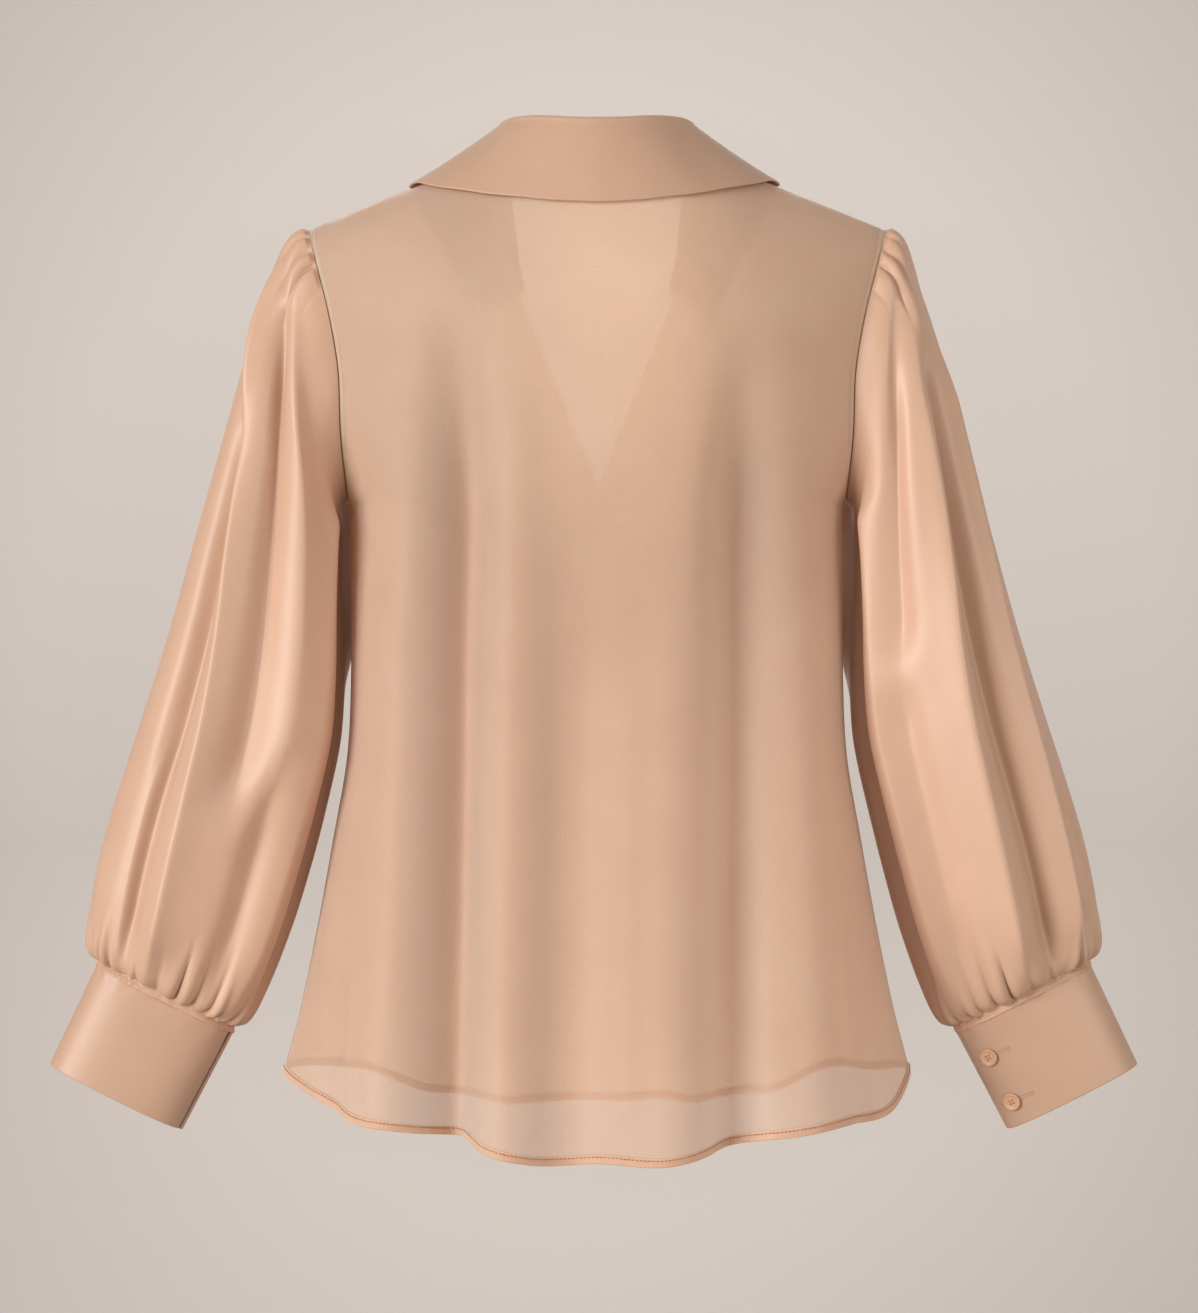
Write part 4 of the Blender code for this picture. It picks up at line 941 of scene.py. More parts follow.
def button_resin():
    """Matt cast resin with a faint cloudiness."""
    colour = tuple(bpy.context.scene.blouse_colours.button)
    material, tree, shader = new_material("button resin")
    place = object_place(tree)
    clouds, fine = noise(tree, place, 260.0, 3.0), noise(tree, place, 1500.0, 2.0)
    shades = ramp(tree, clouds, shade_of(colour, 0.93), shade_of(colour, 1.06))
    tree.links.new(shades, shader.inputs["Base Color"])
    rough = maths(tree, "ADD", maths(tree, "MULTIPLY", fine, 0.10), 0.30)
    tree.links.new(rough, shader.inputs["Roughness"])
    finish_with(shader, Coat_Weight=0.15, Coat_Roughness=0.30)
    bumped(tree, shader, fine, 0.2, 0.00003)
    return material


# ---------------------------------------- body panels
def panel_surfaces(panel):
    """(outer, inner, marks) of a panel: its two faces, and how far each point is from hem, side and top."""
    cloth = bpy.context.scene.blouse_cloth
    across, form, normals, folds = panel_grid(panel)
    from_hem = run_lengths(form, 0)
    from_top = from_hem[-1] - from_hem
    along_row = run_lengths(form, 1)
    from_side = np.minimum(along_row, along_row[:, -1:] - along_row)
    in_hem = 1 - smooth(*HEM_STEP, from_hem)
    thickness = cloth.shell + (cloth.hem - cloth.shell) * in_hem
    thickness = thickness * np.where(from_hem < HEM_ROUND, rounded(from_hem, HEM_ROUND), 1.0)
    puckers = np.cos(across * HEM_PUCKERS) * np.cos(across * HEM_PUCKERS * HEM_PUCKERS_BEAT + 1.0)
    ruffled = HEM_PUCKER_DEPTH * puckers * smooth(*HEM_PUCKERS_IN, from_hem)
    ruffled = ruffled * (1 - smooth(*HEM_PUCKERS_OUT, from_hem))
    middle = form + normals * (folds + ruffled - CAD_CLOTH / 2)[..., None]
    half = (thickness / 2)[..., None]
    marks = {"hem_gap": from_hem, "side_gap": from_side, "top_gap": from_top}
    return middle + normals * half, middle - normals * half, marks


class BLOUSE_OT_body_panels(bpy.types.Operator):
    """Make the sheer back and front, with their rolled hems and French seams"""

    bl_idname = "blouse.body_panels"
    bl_label = "Back and front"

    def execute(self, context):
        sheer = sheer_crepe()
        for panel, flat, area in ((BACK, (0.54, 0.70), 0.315), (FRONT, (0.54, 0.68), 0.285)):
            outer, inner, marks = panel_surfaces(panel)
            piece = thin_wall(panel.name + "_panel", outer, inner, sheer, marks=marks)
            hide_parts(panel.name)
        return {"FINISHED"}


# ---------------------------------------- collar
def neckline(turn):
    """A point of the neckline: turn is 0 at the back, 1 at the shoulder seam and 2 at the V's point."""
    panel = BACK if turn < 1 else FRONT
    across = np.array(neck_x(panel, min(turn, 2 - turn)) / SHOULDER_HALF)
    return body_point(panel, across, neck_top(panel, across))


def neck_seam():
    """Half of the neckline as a fine run of points, and how far along it each one lies."""
    points = np.array([neckline(turn) for turn in np.linspace(0, 2, SEAM_SAMPLES)])
    return points, run_lengths(points, 0)


def along_seam(seam, share):
    """The point of the neck seam at a share of the collar's own length."""
    points, lengths = seam
    return np.array([np.interp(share * COLLAR_SEAM_LENGTH, lengths, points[:, axis]) for axis in range(3)])


def over_body(x, angle, lift):
    """A point that lies over the shoulders: angle is 90 on the shoulder line and grows to the front."""
    panel = BACK if angle <= 90 else FRONT
    climb = np.radians(angle if angle <= 90 else 180 - angle)
    across = np.array(x / SHOULDER_HALF)
    return body_point(panel, across, climb) + body_normal(panel, across, climb) * lift


def collar_section(seam, side, share):
    """One section of the collar, from the neck seam up the stand, over the fold and down the fall."""
    eased = share + CENTRE_EASE * math.exp(-share / CENTRE_EASE)
    at = {column: eased if column in EASED_COLUMNS else share for column in COLLAR[0]._fields[1:]}
    fold_in, fold_y, rise, edge_x, edge_angle, bulge = (
        float(read(COLLAR, "share", column, where)) for column, where in at.items())
    if side == "right":
        edge_x -= COLLAR_RIGHT_IN * float(smooth(0.0, COLLAR_RIGHT_IN_BY, share))
    start = along_seam(seam, share)
    along = unit(along_seam(seam, share + SEAM_REACH) - along_seam(seam, max(share - SEAM_REACH, 0.0)))
    crown = start + (-fold_in, fold_y, rise)
    edge = over_body(edge_x, edge_angle, COLLAR_CLEARANCE)
    away = unit(crown - start - along * np.dot(crown - start, along))
    start = start + away * COLLAR_SEAM_GAP
    up = unit(crown - start)
    out = edge - crown
    out = unit(out - up * np.dot(out, up))
    radius = FOLD_RADIUS + (FOLD_RADIUS_END - FOLD_RADIUS) * share
    centre = crown - up * radius
    stand_top = centre - out * radius
    fall_top = centre + out * radius
    points = [start + (stand_top - start) * step / STAND_POINTS for step in range(STAND_POINTS)]
    for bend in np.linspace(0, math.pi, BEND_POINTS + 1):
        points.append(centre - out * radius * math.cos(bend) + up * radius * math.sin(bend))
    lift = unit(np.cross(along, edge - fall_top))
    if np.dot(lift, out) < 0:
        lift = -lift
    for down in FALL_SHARES:
        points.append(fall_top + (edge - fall_top) * down + lift * bulge * 4 * down * (1 - down))
    return np.array(points)


def collar_swell(along, down):
    """How far the fall swells out of its even form: along runs from -1 at the right end to 1 at the left."""
    total = np.zeros(np.broadcast(along, down).shape)
    for swell in COLLAR_SWELLS:
        off_along = (along - swell.along) / swell.along_reach
        off_down = (down - swell.down) / swell.down_reach
        total = total + swell.depth * np.exp(-(off_along**2) - off_down**2)
    return total


class BLOUSE_OT_collar(bpy.types.Operator):
    """Make the fold-over collar, round the back of the neck to a point on each side of the V"""

    bl_idname = "blouse.collar"
    bl_label = "Collar"

    def execute(self, context):
        seam = neck_seam()
        even = np.linspace(0, COLLAR_EVEN_TO, COLLAR_STEPS + 1)
        shares = np.concatenate([even, COLLAR_END_STEPS])
        left = [collar_section(seam, "left", share) for share in shares]
        right = [collar_section(seam, "right", share) * (-1, 1, 1) for share in shares[:0:-1]]
        face = np.array(right + left).transpose(1, 0, 2)
        normals = normals_of(face)
        if normals[-1, len(shares) - 1, 1] < 0:
            normals = -normals
        fall_from = STAND_POINTS + BEND_POINTS
        down = np.concatenate([np.zeros(fall_from + 1), FALL_SHARES])[:, None]
        along = np.concatenate([-shares[:0:-1], shares])[None, :]
        swells = collar_swell(along, down) * smooth(0.0, SWELLS_WHOLE_FROM, down)
        face = face + normals * swells[..., None]
        from_edge = run_lengths(face[::-1], 0)[::-1]
        along_row = run_lengths(face, 1)
        from_end = np.minimum(along_row, along_row[:, -1:] - along_row)
        cloth = context.scene.blouse_cloth
        turned = np.minimum(rounded(from_edge, EDGE_ROUND), rounded(from_end, EDGE_ROUND))
        half = (cloth.collar / 2 * turned)[..., None]
        middle = face - normals * COLLAR_CLOTH / 2
        piece = thin_wall("collar_shell", middle + normals * half, middle - normals * half,
                          satin_crepe("doubled crepe", DOUBLED_DEPTH))
        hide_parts("collar")
        return {"FINISHED"}


# ---------------------------------------- sleeves
def armhole_edge(angles):
    """Points of the left armhole's edge: 0 at the shoulder, 180 at the underarm, 270 at the front."""
    points = []
    for angle in angles:
        panel = BACK if angle <= 180 else FRONT
        share = angle / 180 if angle <= 180 else 2 - angle / 180
        low = float(climb_of(panel, 1.0, UNDERARM_Z))
        climb = math.pi / 2 + (low - math.pi / 2) * share
        points.append(body_point(panel, np.array(1.0), np.array(climb)) + (ARMHOLE_SHIFT, 0, 0))
    return np.array(points)


def under_swell(side, along, angles):
    """How far the sleeve's front swells in towards the body."""
    round_it = np.exp(-(((angles - UNDER_SWELL_ANGLE) / UNDER_SWELL_WIDTH) ** 2))
    down_it = smooth(*UNDER_SWELL_IN, along) * (1 - smooth(*UNDER_SWELL_OUT, along))
    return UNDER_SWELL[side] * round_it * down_it


def sleeve_form(side, places, angles):
    """The smooth form of a left-hand sleeve: one ring of points for each place along it."""
    ends = {column: read(SLEEVE, "along", column, places)[:, None] for column in SLEEVE[0]._fields[1:]}
    outer_x, inner_x = ends["outer_x"], ends["inner_x"]
    if side == "right":
        outer_x = outer_x - RIGHT_SLEEVE_IN * smooth(0.0, OUTER_IN_BY, places)[:, None]
        inner_x = inner_x - RIGHT_SLEEVE_IN * smooth(INNER_IN_FROM, 1.0, places)[:, None]
    cosine, sine = np.cos(np.radians(angles))[None], np.sin(np.radians(angles))[None]
    x = (outer_x + inner_x) / 2 + (outer_x - inner_x) / 2 * cosine
    z = (ends["outer_z"] + ends["inner_z"]) / 2 + (ends["outer_z"] - ends["inner_z"]) / 2 * cosine
    x = x - under_swell(side, places[:, None], np.asarray(angles)[None])
    return np.stack([x, ends["half_depth"] * sine, z], axis=-1)


def waves(turns, rows):
    """Waves round a ring, added up. Each row says how many go round, how high they are, and their phase."""
    return sum(share * np.sin(count * turns + phase) for count, share, phase in rows)


def uneven(turns, rows):
    """A value round a ring that never repeats evenly: 1, more or less the waves."""
    return 1 + waves(turns, rows)


def pinched(phase):
    """A broad round ridge at whole numbers and a narrow notch between them, from -1 to 1."""
    return 2 * np.abs(np.cos(math.pi * phase)) ** RIDGE_ROUNDNESS - 1


def cuff_gathers(places, angles):
    """The small waves and the smaller notches where the sleeve is drawn into the cuff."""
    turns = np.radians(angles)
    from_cuff = 1 - places[:, None]
    reach = CUFF_GATHER_REACH * uneven(turns, GATHER_REACH_WAVES)
    phase = turns / (2 * math.pi) * GATHERS_CUFF + waves(turns, GATHER_WANDER)
    swell = GATHERS_AT_SEAM + (1 - GATHERS_AT_SEAM) * smooth(0.0, GATHERS_WHOLE_FROM, from_cuff)
    fade = 1 - smooth(0.20 * reach, reach, from_cuff)
    wide = CUFF_GATHER_DEPTH * swell * fade * uneven(turns, GATHER_DEPTH_WAVES) * pinched(phase)
    close = 1 - smooth(0.3 * NOTCH_REACH, NOTCH_REACH * uneven(turns, NOTCH_REACH_WAVES), from_cuff)
    return wide - 2 * NOTCH_DEPTH * close * notches(angles)


def notches(angles):
    """The small notches round the sleeve's end, from 0 to 1, which come in groups."""
    turns = np.radians(angles)
    group = smooth(*NOTCH_GROUPS_BETWEEN, uneven(turns, NOTCH_GROUP_WAVES))
    return group * (1 - pinched(turns / math.tau * NOTCHES_CUFF + waves(turns, NOTCH_WANDER))) / 2


def cuff_edge(side, angles):
    """The line round the top of the cuff on which the sleeve's end lies."""
    lap = CUFF_LAPS[side]
    lift = lap_lift(lap, ((angles - lap.end_angle) * lap.turn) % 360)
    drawn = notches(angles)
    along = SEAM_LAP * (1 - 2 * drawn) / CUFF_LENGTH
    return cuff_point(side, along, angles, lift + SEAM_STAND - SEAM_DRAWN_IN * drawn)


def head_gathers(places, angles):
    """The soft pleats over the top of the sleeve head."""
    from_top = np.minimum(angles, 360 - angles)
    side = np.where(angles > 180, -1.0, 1.0)
    phase = from_top / HEAD_GATHER_ARC * GATHERS_HEAD / 2
    reach = HEAD_GATHER_REACH * (0.75 + 0.25 * np.sin(phase * 2.3 + side))
    along = places[:, None]
    rise = smooth(0.0, HEAD_GATHERS_WHOLE_FROM, along) * (1 - smooth(0.25 * reach, reach, along))
    over_top = 1 - smooth(0.7 * HEAD_GATHER_ARC, HEAD_GATHER_ARC, from_top)
    return HEAD_GATHER_DEPTH * rise * over_top * pinched(phase + 0.08 * np.sin(phase * 4))


def fold_shape(off, sharp):
    """Across a fold, 1 on its crest: a soft swell, or a crest that is nearly an edge."""
    soft = np.exp(-(off**2))
    crest = np.exp(CREST_ROUNDING - np.sqrt(CREST_ROUNDING**2 + (CREST_STEEPNESS * off) ** 2))
    return soft + (crest - soft) * sharp


def long_folds(side, places, angles):
    """The long ridges and troughs that run down the sleeve."""
    total = np.zeros((len(places), len(angles)))
    along = places[:, None]
    for fold in SLEEVE_FOLDS[side]:
        settled = (1 - np.exp(-along / fold.sweep)) / (1 - math.exp(-1 / fold.sweep))
        middle = fold.head_angle + (fold.cuff_angle - fold.head_angle) * settled
        off = (angles[None] - middle + 180) % 360 - 180
        fade_in = smooth(fold.start, fold.start + FOLD_END_FADE, along)
        fade_out = 1 - smooth(fold.end - FOLD_END_FADE, fold.end, along)
        total = total + fold.depth * fade_in * fade_out * fold_shape(off / fold.width, fold.sharp)
    return total


def make_sleeve(side, material):
    """A full sleeve, eased into the armhole and gathered into the cuff."""
    cloth = bpy.context.scene.blouse_cloth
    angles = np.arange(SLEEVE_COLUMNS) * 360.0 / SLEEVE_COLUMNS
    places = 0.5 - 0.5 * np.cos(math.pi * np.arange(SLEEVE_RINGS + 1) / SLEEVE_RINGS)
    form = sleeve_form(side, places, angles)
    hold = (1 - smooth(0.0, ARMHOLE_BLEND, places))[:, None, None]
    form = form + (armhole_edge(angles) - form[0])[None] * hold
    normals = normals_of(form, round_tube=True)
    if normals[SLEEVE_RINGS // 2, 0, 0] < 0:
        normals = -normals
    folds = SLEEVE_FOLD_GAIN * long_folds(side, places, angles) + cuff_gathers(places, angles)
    folds = folds + head_gathers(places, angles)
    middle = form + normals * (folds - CAD_CLOTH / 2)[..., None]
    sewn = (1 - smooth(0.0, SEAM_REACH_SLEEVE, 1 - places))[:, None, None]
    middle = middle + (cuff_edge(side, angles) - middle[-1]) * sewn
    half = cloth.shell / 2
    flip = mirrored(side)
    outer, inner = (middle + normals * half) * flip, (middle - normals * half) * flip
    return thin_wall("sleeve_shell_" + side, outer, inner, material, round_tube=True)


class BLOUSE_OT_sleeves(bpy.types.Operator):
    """Make the two full sleeves, gathered at the head and into the cuffs"""

    bl_idname = "blouse.sleeves"
    bl_label = "Sleeves"

    def execute(self, context):
        crepe = satin_crepe("satin crepe", 1.0)
        for side in ("left", "right"):
            piece = make_sleeve(side, crepe)
            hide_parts("sleeve_" + side)
        return {"FINISHED"}


# ---------------------------------------- cuffs
def cuff_axes(side):
    """(middle of the top edge, down the cuff, across it) of the left cuff, or of the right one mirrored."""
    tilt = math.radians(CUFF_TILT)
    shift = RIGHT_SLEEVE_IN if side == "right" else 0.0
    top = np.array([CUFF_TOP[0] - shift, 0.0, CUFF_TOP[1]])
    down = np.array([math.sin(tilt), 0.0, -math.cos(tilt)])
    return top, down, np.array([math.cos(tilt), 0.0, math.sin(tilt)])


def signed_power(value, power):
    return np.sign(value) * np.abs(value) ** power


def cuff_point(side, along, angle, lift):
    """A point of the cuff's outside: along is 0 at the seam and 1 at the free edge, lift stands out of it."""
    top, down, across = cuff_axes(side)
    along, angle, lift = np.broadcast_arrays(*(np.asarray(value, float) for value in (along, angle, lift)))
    half_width = CUFF_HALF_WIDTH[0] + (CUFF_HALF_WIDTH[1] - CUFF_HALF_WIDTH[0]) * along
    half_depth = CUFF_HALF_DEPTH[0] + (CUFF_HALF_DEPTH[1] - CUFF_HALF_DEPTH[0]) * along
    cosine, sine = np.cos(np.radians(angle)), np.sin(np.radians(angle))
    power = 2 / CUFF_POWER
    lean_wide = signed_power(cosine, 2 - power) / half_width
    lean_deep = signed_power(sine, 2 - power) / half_depth
    length = np.hypot(lean_wide, lean_deep)
    wide = signed_power(cosine, power) * half_width + lean_wide / length * lift
    deep = signed_power(sine, power) * half_depth + lean_deep / length * lift
    middle = top + down * (SLEEVE_CUFF_GAP + CUFF_LENGTH * along)[..., None]
    return middle + across * wide[..., None] + np.array([0, 1, 0]) * deep[..., None]


def mirrored(side):
    return np.array([1 if side == "left" else -1, 1, 1])


def lap_lift(lap, wound):
    """How far the cuff's outside stands out: more over its own inner end, which it laps."""
    sunk = smooth(lap.overlap, lap.overlap + CUFF_LIFT_RAMP, wound)
    return UNDER_LIFT + (CUFF_LIFT - UNDER_LIFT) * (1 - sunk)


def make_cuff(side, material):
    """A cuff is one strip wound a little more than once round, its outer end lapped over its inner end."""
    lap = CUFF_LAPS[side]
    cloth = bpy.context.scene.blouse_cloth
    whole = 360 + lap.overlap
    inner_rows = np.linspace(CUFF_ROUND_ROWS[-1], 1 - CUFF_ROUND_ROWS[-1], CUFF_ROWS)[1:-1]
    top_rows = np.array(CUFF_ROUND_ROWS)
    along = np.concatenate([top_rows, inner_rows, 1 - top_rows[::-1]])[:, None]
    wound_ends = np.array(CUFF_ROUND_ANGLES)
    even = np.linspace(CUFF_EVEN_FROM, whole - CUFF_EVEN_FROM, CUFF_STEPS)
    wound = np.concatenate([wound_ends, even, whole - wound_ends[::-1]])[None]
    lift = lap_lift(lap, wound)
    turns = np.radians(wound)
    drawn = 1 - smooth(0.0, CUFF_PUCKER_REACH * uneven(turns, CUFF_PUCKER_REACH_WAVES), along)
    puckers = np.sin(turns * CUFF_PUCKERS / math.tau * 2 + 2 * np.sin(turns * 3))
    puckers = puckers * uneven(turns, CUFF_PUCKER_WAVES)
    lift = lift + CUFF_PUCKER_DEPTH * drawn * smooth(0.0, CUFF_PUCKERS_IN, along) * puckers
    angle = lap.end_angle + lap.turn * wound
    edge_gap = np.minimum(along, 1 - along) * CUFF_LENGTH
    end_gap = np.minimum(wound, whole - wound) / 360 * CUFF_GIRTH
    turned = np.minimum(rounded(edge_gap, cloth.cuff / 2), rounded(end_gap, cloth.cuff / 2))
    half = cloth.cuff / 2 * turned
    middle = lift - cloth.cuff / 2
    outer = cuff_point(side, along, angle, middle + half) * mirrored(side)
    inner = cuff_point(side, along, angle, middle - half) * mirrored(side)
    return thin_wall("cuff_shell_" + side, outer, inner, material)


class BLOUSE_OT_cuffs(bpy.types.Operator):
    """Make the two deep cuffs, each lapped over itself at the back"""

    bl_idname = "blouse.cuffs"
    bl_label = "Cuffs"

    def execute(self, context):
        crepe = satin_crepe("doubled crepe", DOUBLED_DEPTH)
        for side in ("left", "right"):
            piece = make_cuff(side, crepe)
            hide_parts("cuff_" + side)
        return {"FINISHED"}


# ---------------------------------------- buttons
def turned_disc():
    """The button before its holes: a turned disc with a raised rim, lying on its back."""
    shape = bmesh.new()
    rings = []
    for radius, height in BUTTON_PROFILE:
        turns = np.arange(BUTTON_SIDES) * math.tau / BUTTON_SIDES
        rings.append([shape.verts.new((radius * math.cos(t), radius * math.sin(t), height)) for t in turns])
    for low, high in zip(rings, rings[1:]):
        for side in range(BUTTON_SIDES):
            after = (side + 1) % BUTTON_SIDES
            shape.faces.new((low[side], low[after], high[after], high[side]))
    shape.faces.new(rings[0][::-1])
    shape.faces.new(rings[-1])
    return shape


def hole_places():
    for number in range(4):
        turn = math.pi / 4 + number * math.pi / 2
        yield Vector((math.cos(turn), math.sin(turn), 0)) * BUTTON_HOLE_REACH


def plain_mesh(thing, name):
    """The evaluated shape of an object as a mesh of its own. The object goes."""
    mesh = bpy.data.meshes.new_from_object(thing.evaluated_get(bpy.context.evaluated_depsgraph_get()))
    mesh.name = name
    bpy.data.objects.remove(thing)
    return mesh


def drilled_button():
    """The four-hole button."""
    blank, drills = bpy.data.meshes.new("button"), bpy.data.meshes.new("button_drills")
    shape = turned_disc()
    shape.to_mesh(blank)
    shape.free()
    shape = bmesh.new()
    for place in hole_places():
        bmesh.ops.create_cone(shape, cap_ends=True, segments=BUTTON_HOLE_SIDES, radius1=BUTTON_HOLE_RADIUS,
                              radius2=BUTTON_HOLE_RADIUS, depth=4 * BUTTON_PROFILE[-1].height,
                              matrix=Matrix.Translation(place))
    shape.to_mesh(drills)
    shape.free()
    body = bpy.data.objects.new("button_body", blank)
    cutter = bpy.data.objects.new("button_drills", drills)
    for thing in (body, cutter):
        bpy.context.scene.collection.objects.link(thing)
    cut = body.modifiers.new("holes", "BOOLEAN")
    cut.operation = "DIFFERENCE"
    cut.object = cutter
    cut.solver = "EXACT"
    mesh = plain_mesh(body, "button_drilled")
    bpy.data.objects.remove(cutter)
    return mesh


def button_clearance(lap, side, along):
    """How far a flat-backed button stands off the curved cuff so that its rim just clears it."""
    seat = cuff_point(side, along, lap.button_angle, CUFF_LIFT)
    facing = unit(cuff_point(side, along, lap.button_angle, CUFF_LIFT + 1) - seat)
    angles = np.arange(lap.button_angle - 30, lap.button_angle + 31, 2.0)
    near = cuff_point(side, along, angles, CUFF_LIFT) - seat
    under = np.linalg.norm(near, axis=-1) < BUTTON_RADIUS
    return max(0.0, float((near[under] @ facing).max())) + SEAM_GAP


def button_place(side, number):
    """The matrix that carries a button from the origin to its place on the cuff."""
    lap, flip = CUFF_LAPS[side], mirrored(side)
    along = BUTTON_PLACES[number - 1] / CUFF_LENGTH
    seat = cuff_point(side, along, lap.button_angle, CUFF_LIFT)
    facing = Vector((cuff_point(side, along, lap.button_angle, CUFF_LIFT + 1) - seat) * flip).normalized()
    down = Vector(cuff_axes(side)[1] * flip)
    across = down.cross(facing).normalized()
    down = facing.cross(across)
    turn = Matrix((across, down, facing)).transposed().to_4x4()
    return Matrix.Translation(Vector(seat * flip) + facing * button_clearance(lap, side, along)) @ turn


def thread_cross():
    """Two strands of thread over the middle of the button, from hole to opposite hole."""
    places = list(hole_places())
    strands = bpy.data.curves.new("button_thread", "CURVE")
    strands.dimensions = "3D"
    strands.bevel_depth = THREAD_RADIUS
    strands.bevel_resolution = 2
    floor = BUTTON_PROFILE[-1].height
    for start, end, lift in ((places[0], places[2], 0.0), (places[1], places[3], THREAD_RADIUS)):
        line = strands.splines.new("POLY")
        half = (STRAND_SUNK, 0.0, STRAND_RAISED + lift)
        line.points.add(len(STRAND_SHARES) - 1)
        for point, share, height in zip(line.points, STRAND_SHARES, half + half[::-1]):
            spot = start.lerp(end, share)
            point.co = (spot.x, spot.y, floor + height, 1.0)
    thing = bpy.data.objects.new("button_thread", strands)
    bpy.context.scene.collection.objects.link(thing)
    return plain_mesh(thing, "button_thread")


class BLOUSE_OT_buttons(bpy.types.Operator):
    """Make the four four-hole buttons, with the thread that holds them"""

    bl_idname = "blouse.buttons"
    bl_label = "Buttons"

    def execute(self, context):
        resin = button_resin()
        thread = sewing_thread("button thread", tuple(context.scene.blouse_colours.thread))
        disc, cross = drilled_button(), thread_cross()
        for side in ("left", "right"):
            for number in (1, 2):
                place = button_place(side, number)
                for blank, name, material in ((disc, "button_disc", resin), (cross, "button_thread", thread)):
                    mesh = blank.copy()
                    mesh.transform(place)
                    piece = show(f"{name}_{side}_{number}", mesh, material)
                    piece.data.set_sharp_from_angle(angle=math.radians(BUTTON_SHARP_ANGLE))
                    if blank is disc:
                        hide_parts(f"button_{side}_{number}")
        return {"FINISHED"}


# ---------------------------------------- stitches
STITCH_INPUTS = {
    "Pitch": ("NodeSocketFloat", 0.003),
    "Length": ("NodeSocketFloat", 0.002),
    "Width": ("NodeSocketFloat", 0.0004),
    "Unevenness": ("NodeSocketFloat", 0.1),
    "Seed": ("NodeSocketInt", 7),
}


def stitch_tree():
    """Geometry Nodes that lay short stitches along a path, each turned to the cloth's outward direction."""
    tree = bpy.data.node_groups.new("stitch run", "GeometryNodeTree")
    face = tree.interface
    face.new_socket("Path", in_out="INPUT", socket_type="NodeSocketGeometry")
    names = {}
    for name, (kind, default) in STITCH_INPUTS.items():
        socket = face.new_socket(name, in_out="INPUT", socket_type=kind)
        socket.default_value = default
        names[name] = socket.identifier
    cloth = face.new_socket("Material", in_out="INPUT", socket_type="NodeSocketMaterial")
    names["Material"] = cloth.identifier
    face.new_socket("Stitches", in_out="OUTPUT", socket_type="NodeSocketGeometry")
    given, made = tree.nodes.new("NodeGroupInput"), tree.nodes.new("NodeGroupOutput")
    link = tree.links.new

    def fed(kind, feeds, **settings):
        """A node whose inputs are linked to sockets or set to values."""
        node = shader_node(tree, kind, **settings)
        for name, value in feeds.items():
            if isinstance(value, bpy.types.NodeSocket):
                link(value, node.inputs[name])
            else:
                node.inputs[name].default_value = value
        return node

    curve = fed("GeometryNodeMeshToCurve", {"Mesh": given.outputs["Path"]})
    spaced = fed("GeometryNodeResampleCurve",
                 {"Curve": curve.outputs["Curve"], "Length": given.outputs["Pitch"]}, mode="LENGTH")
    bead = fed("GeometryNodeMeshUVSphere", {"Segments": 6, "Rings": 4, "Radius": 0.5})
    out = fed("GeometryNodeInputNamedAttribute", {"Name": "out"}, data_type="FLOAT_VECTOR")
    tangent = tree.nodes.new("GeometryNodeInputTangent")
    facing = fed("FunctionNodeAxesToRotation",
                 {"Primary Axis": tangent.outputs[0], "Secondary Axis": out.outputs["Attribute"]},
                 primary_axis="X", secondary_axis="Z")
    least = fed("ShaderNodeMath", {0: 1.0, 1: given.outputs["Unevenness"]}, operation="SUBTRACT")
    most = fed("ShaderNodeMath", {0: 1.0, 1: given.outputs["Unevenness"]}, operation="ADD")
    limits = {"Seed": given.outputs["Seed"], "Min": least.outputs[0], "Max": most.outputs[0]}
    chance = fed("FunctionNodeRandomValue", limits, data_type="FLOAT")
    lengths = {0: given.outputs["Length"], 1: chance.outputs["Value"]}
    length = fed("ShaderNodeMath", lengths, operation="MULTIPLY")
    width = given.outputs["Width"]
    size = fed("ShaderNodeCombineXYZ", {"X": length.outputs[0], "Y": width, "Z": width})
    laid = fed("GeometryNodeInstanceOnPoints",
               {"Points": spaced.outputs["Curve"], "Instance": bead.outputs["Mesh"],
                "Rotation": facing.outputs[0], "Scale": size.outputs[0]})
    real = fed("GeometryNodeRealizeInstances", {"Geometry": laid.outputs["Instances"]})
    coloured = fed("GeometryNodeSetMaterial",
                   {"Geometry": real.outputs["Geometry"], "Material": given.outputs["Material"]})
    link(coloured.outputs["Geometry"], made.inputs["Stitches"])
    return tree, names


def path_object(name, runs):
    """A mesh of open lines: each run is (points, the cloth's outward direction at each of them)."""
    points, edges, outs = [], [], []
    for line, out in runs:
        start = len(points)
        points.extend(tuple(point) for point in line)
        outs.extend(np.asarray(out, float).tolist())
        edges.extend((start + step, start + step + 1) for step in range(len(line) - 1))
    mesh = bpy.data.meshes.new(name)
    mesh.from_pydata(points, edges, [])
    attribute = mesh.attributes.new("out", "FLOAT_VECTOR", "POINT")
    attribute.data.foreach_set("vector", np.array(outs, np.float32).ravel())
    thing = bpy.data.objects.new(name, mesh)
    bpy.context.scene.collection.objects.link(thing)
    return thing


def sew(name, runs, material, slot, pitch, length, width, seed):
    """Stitches along runs of points on the cloth, as one plain mesh."""
    unevenness = bpy.context.scene.blouse_stitches.unevenness
    path = path_object(name + "_path", runs)
    tree, names = stitch_tree()
    modifier = path.modifiers.new("stitches", "NODES")
    modifier.node_group = tree
    settings = {"Pitch": pitch, "Length": length, "Width": width, "Unevenness": unevenness, "Seed": seed,
                "Material": material}
    for name_of, value in settings.items():
        modifier[names[name_of]] = value
    mesh = plain_mesh(path, name)
    if not mesh.polygons:
        raise RuntimeError(f"{name}: the stitches came out empty")
    return show(name, mesh, material)


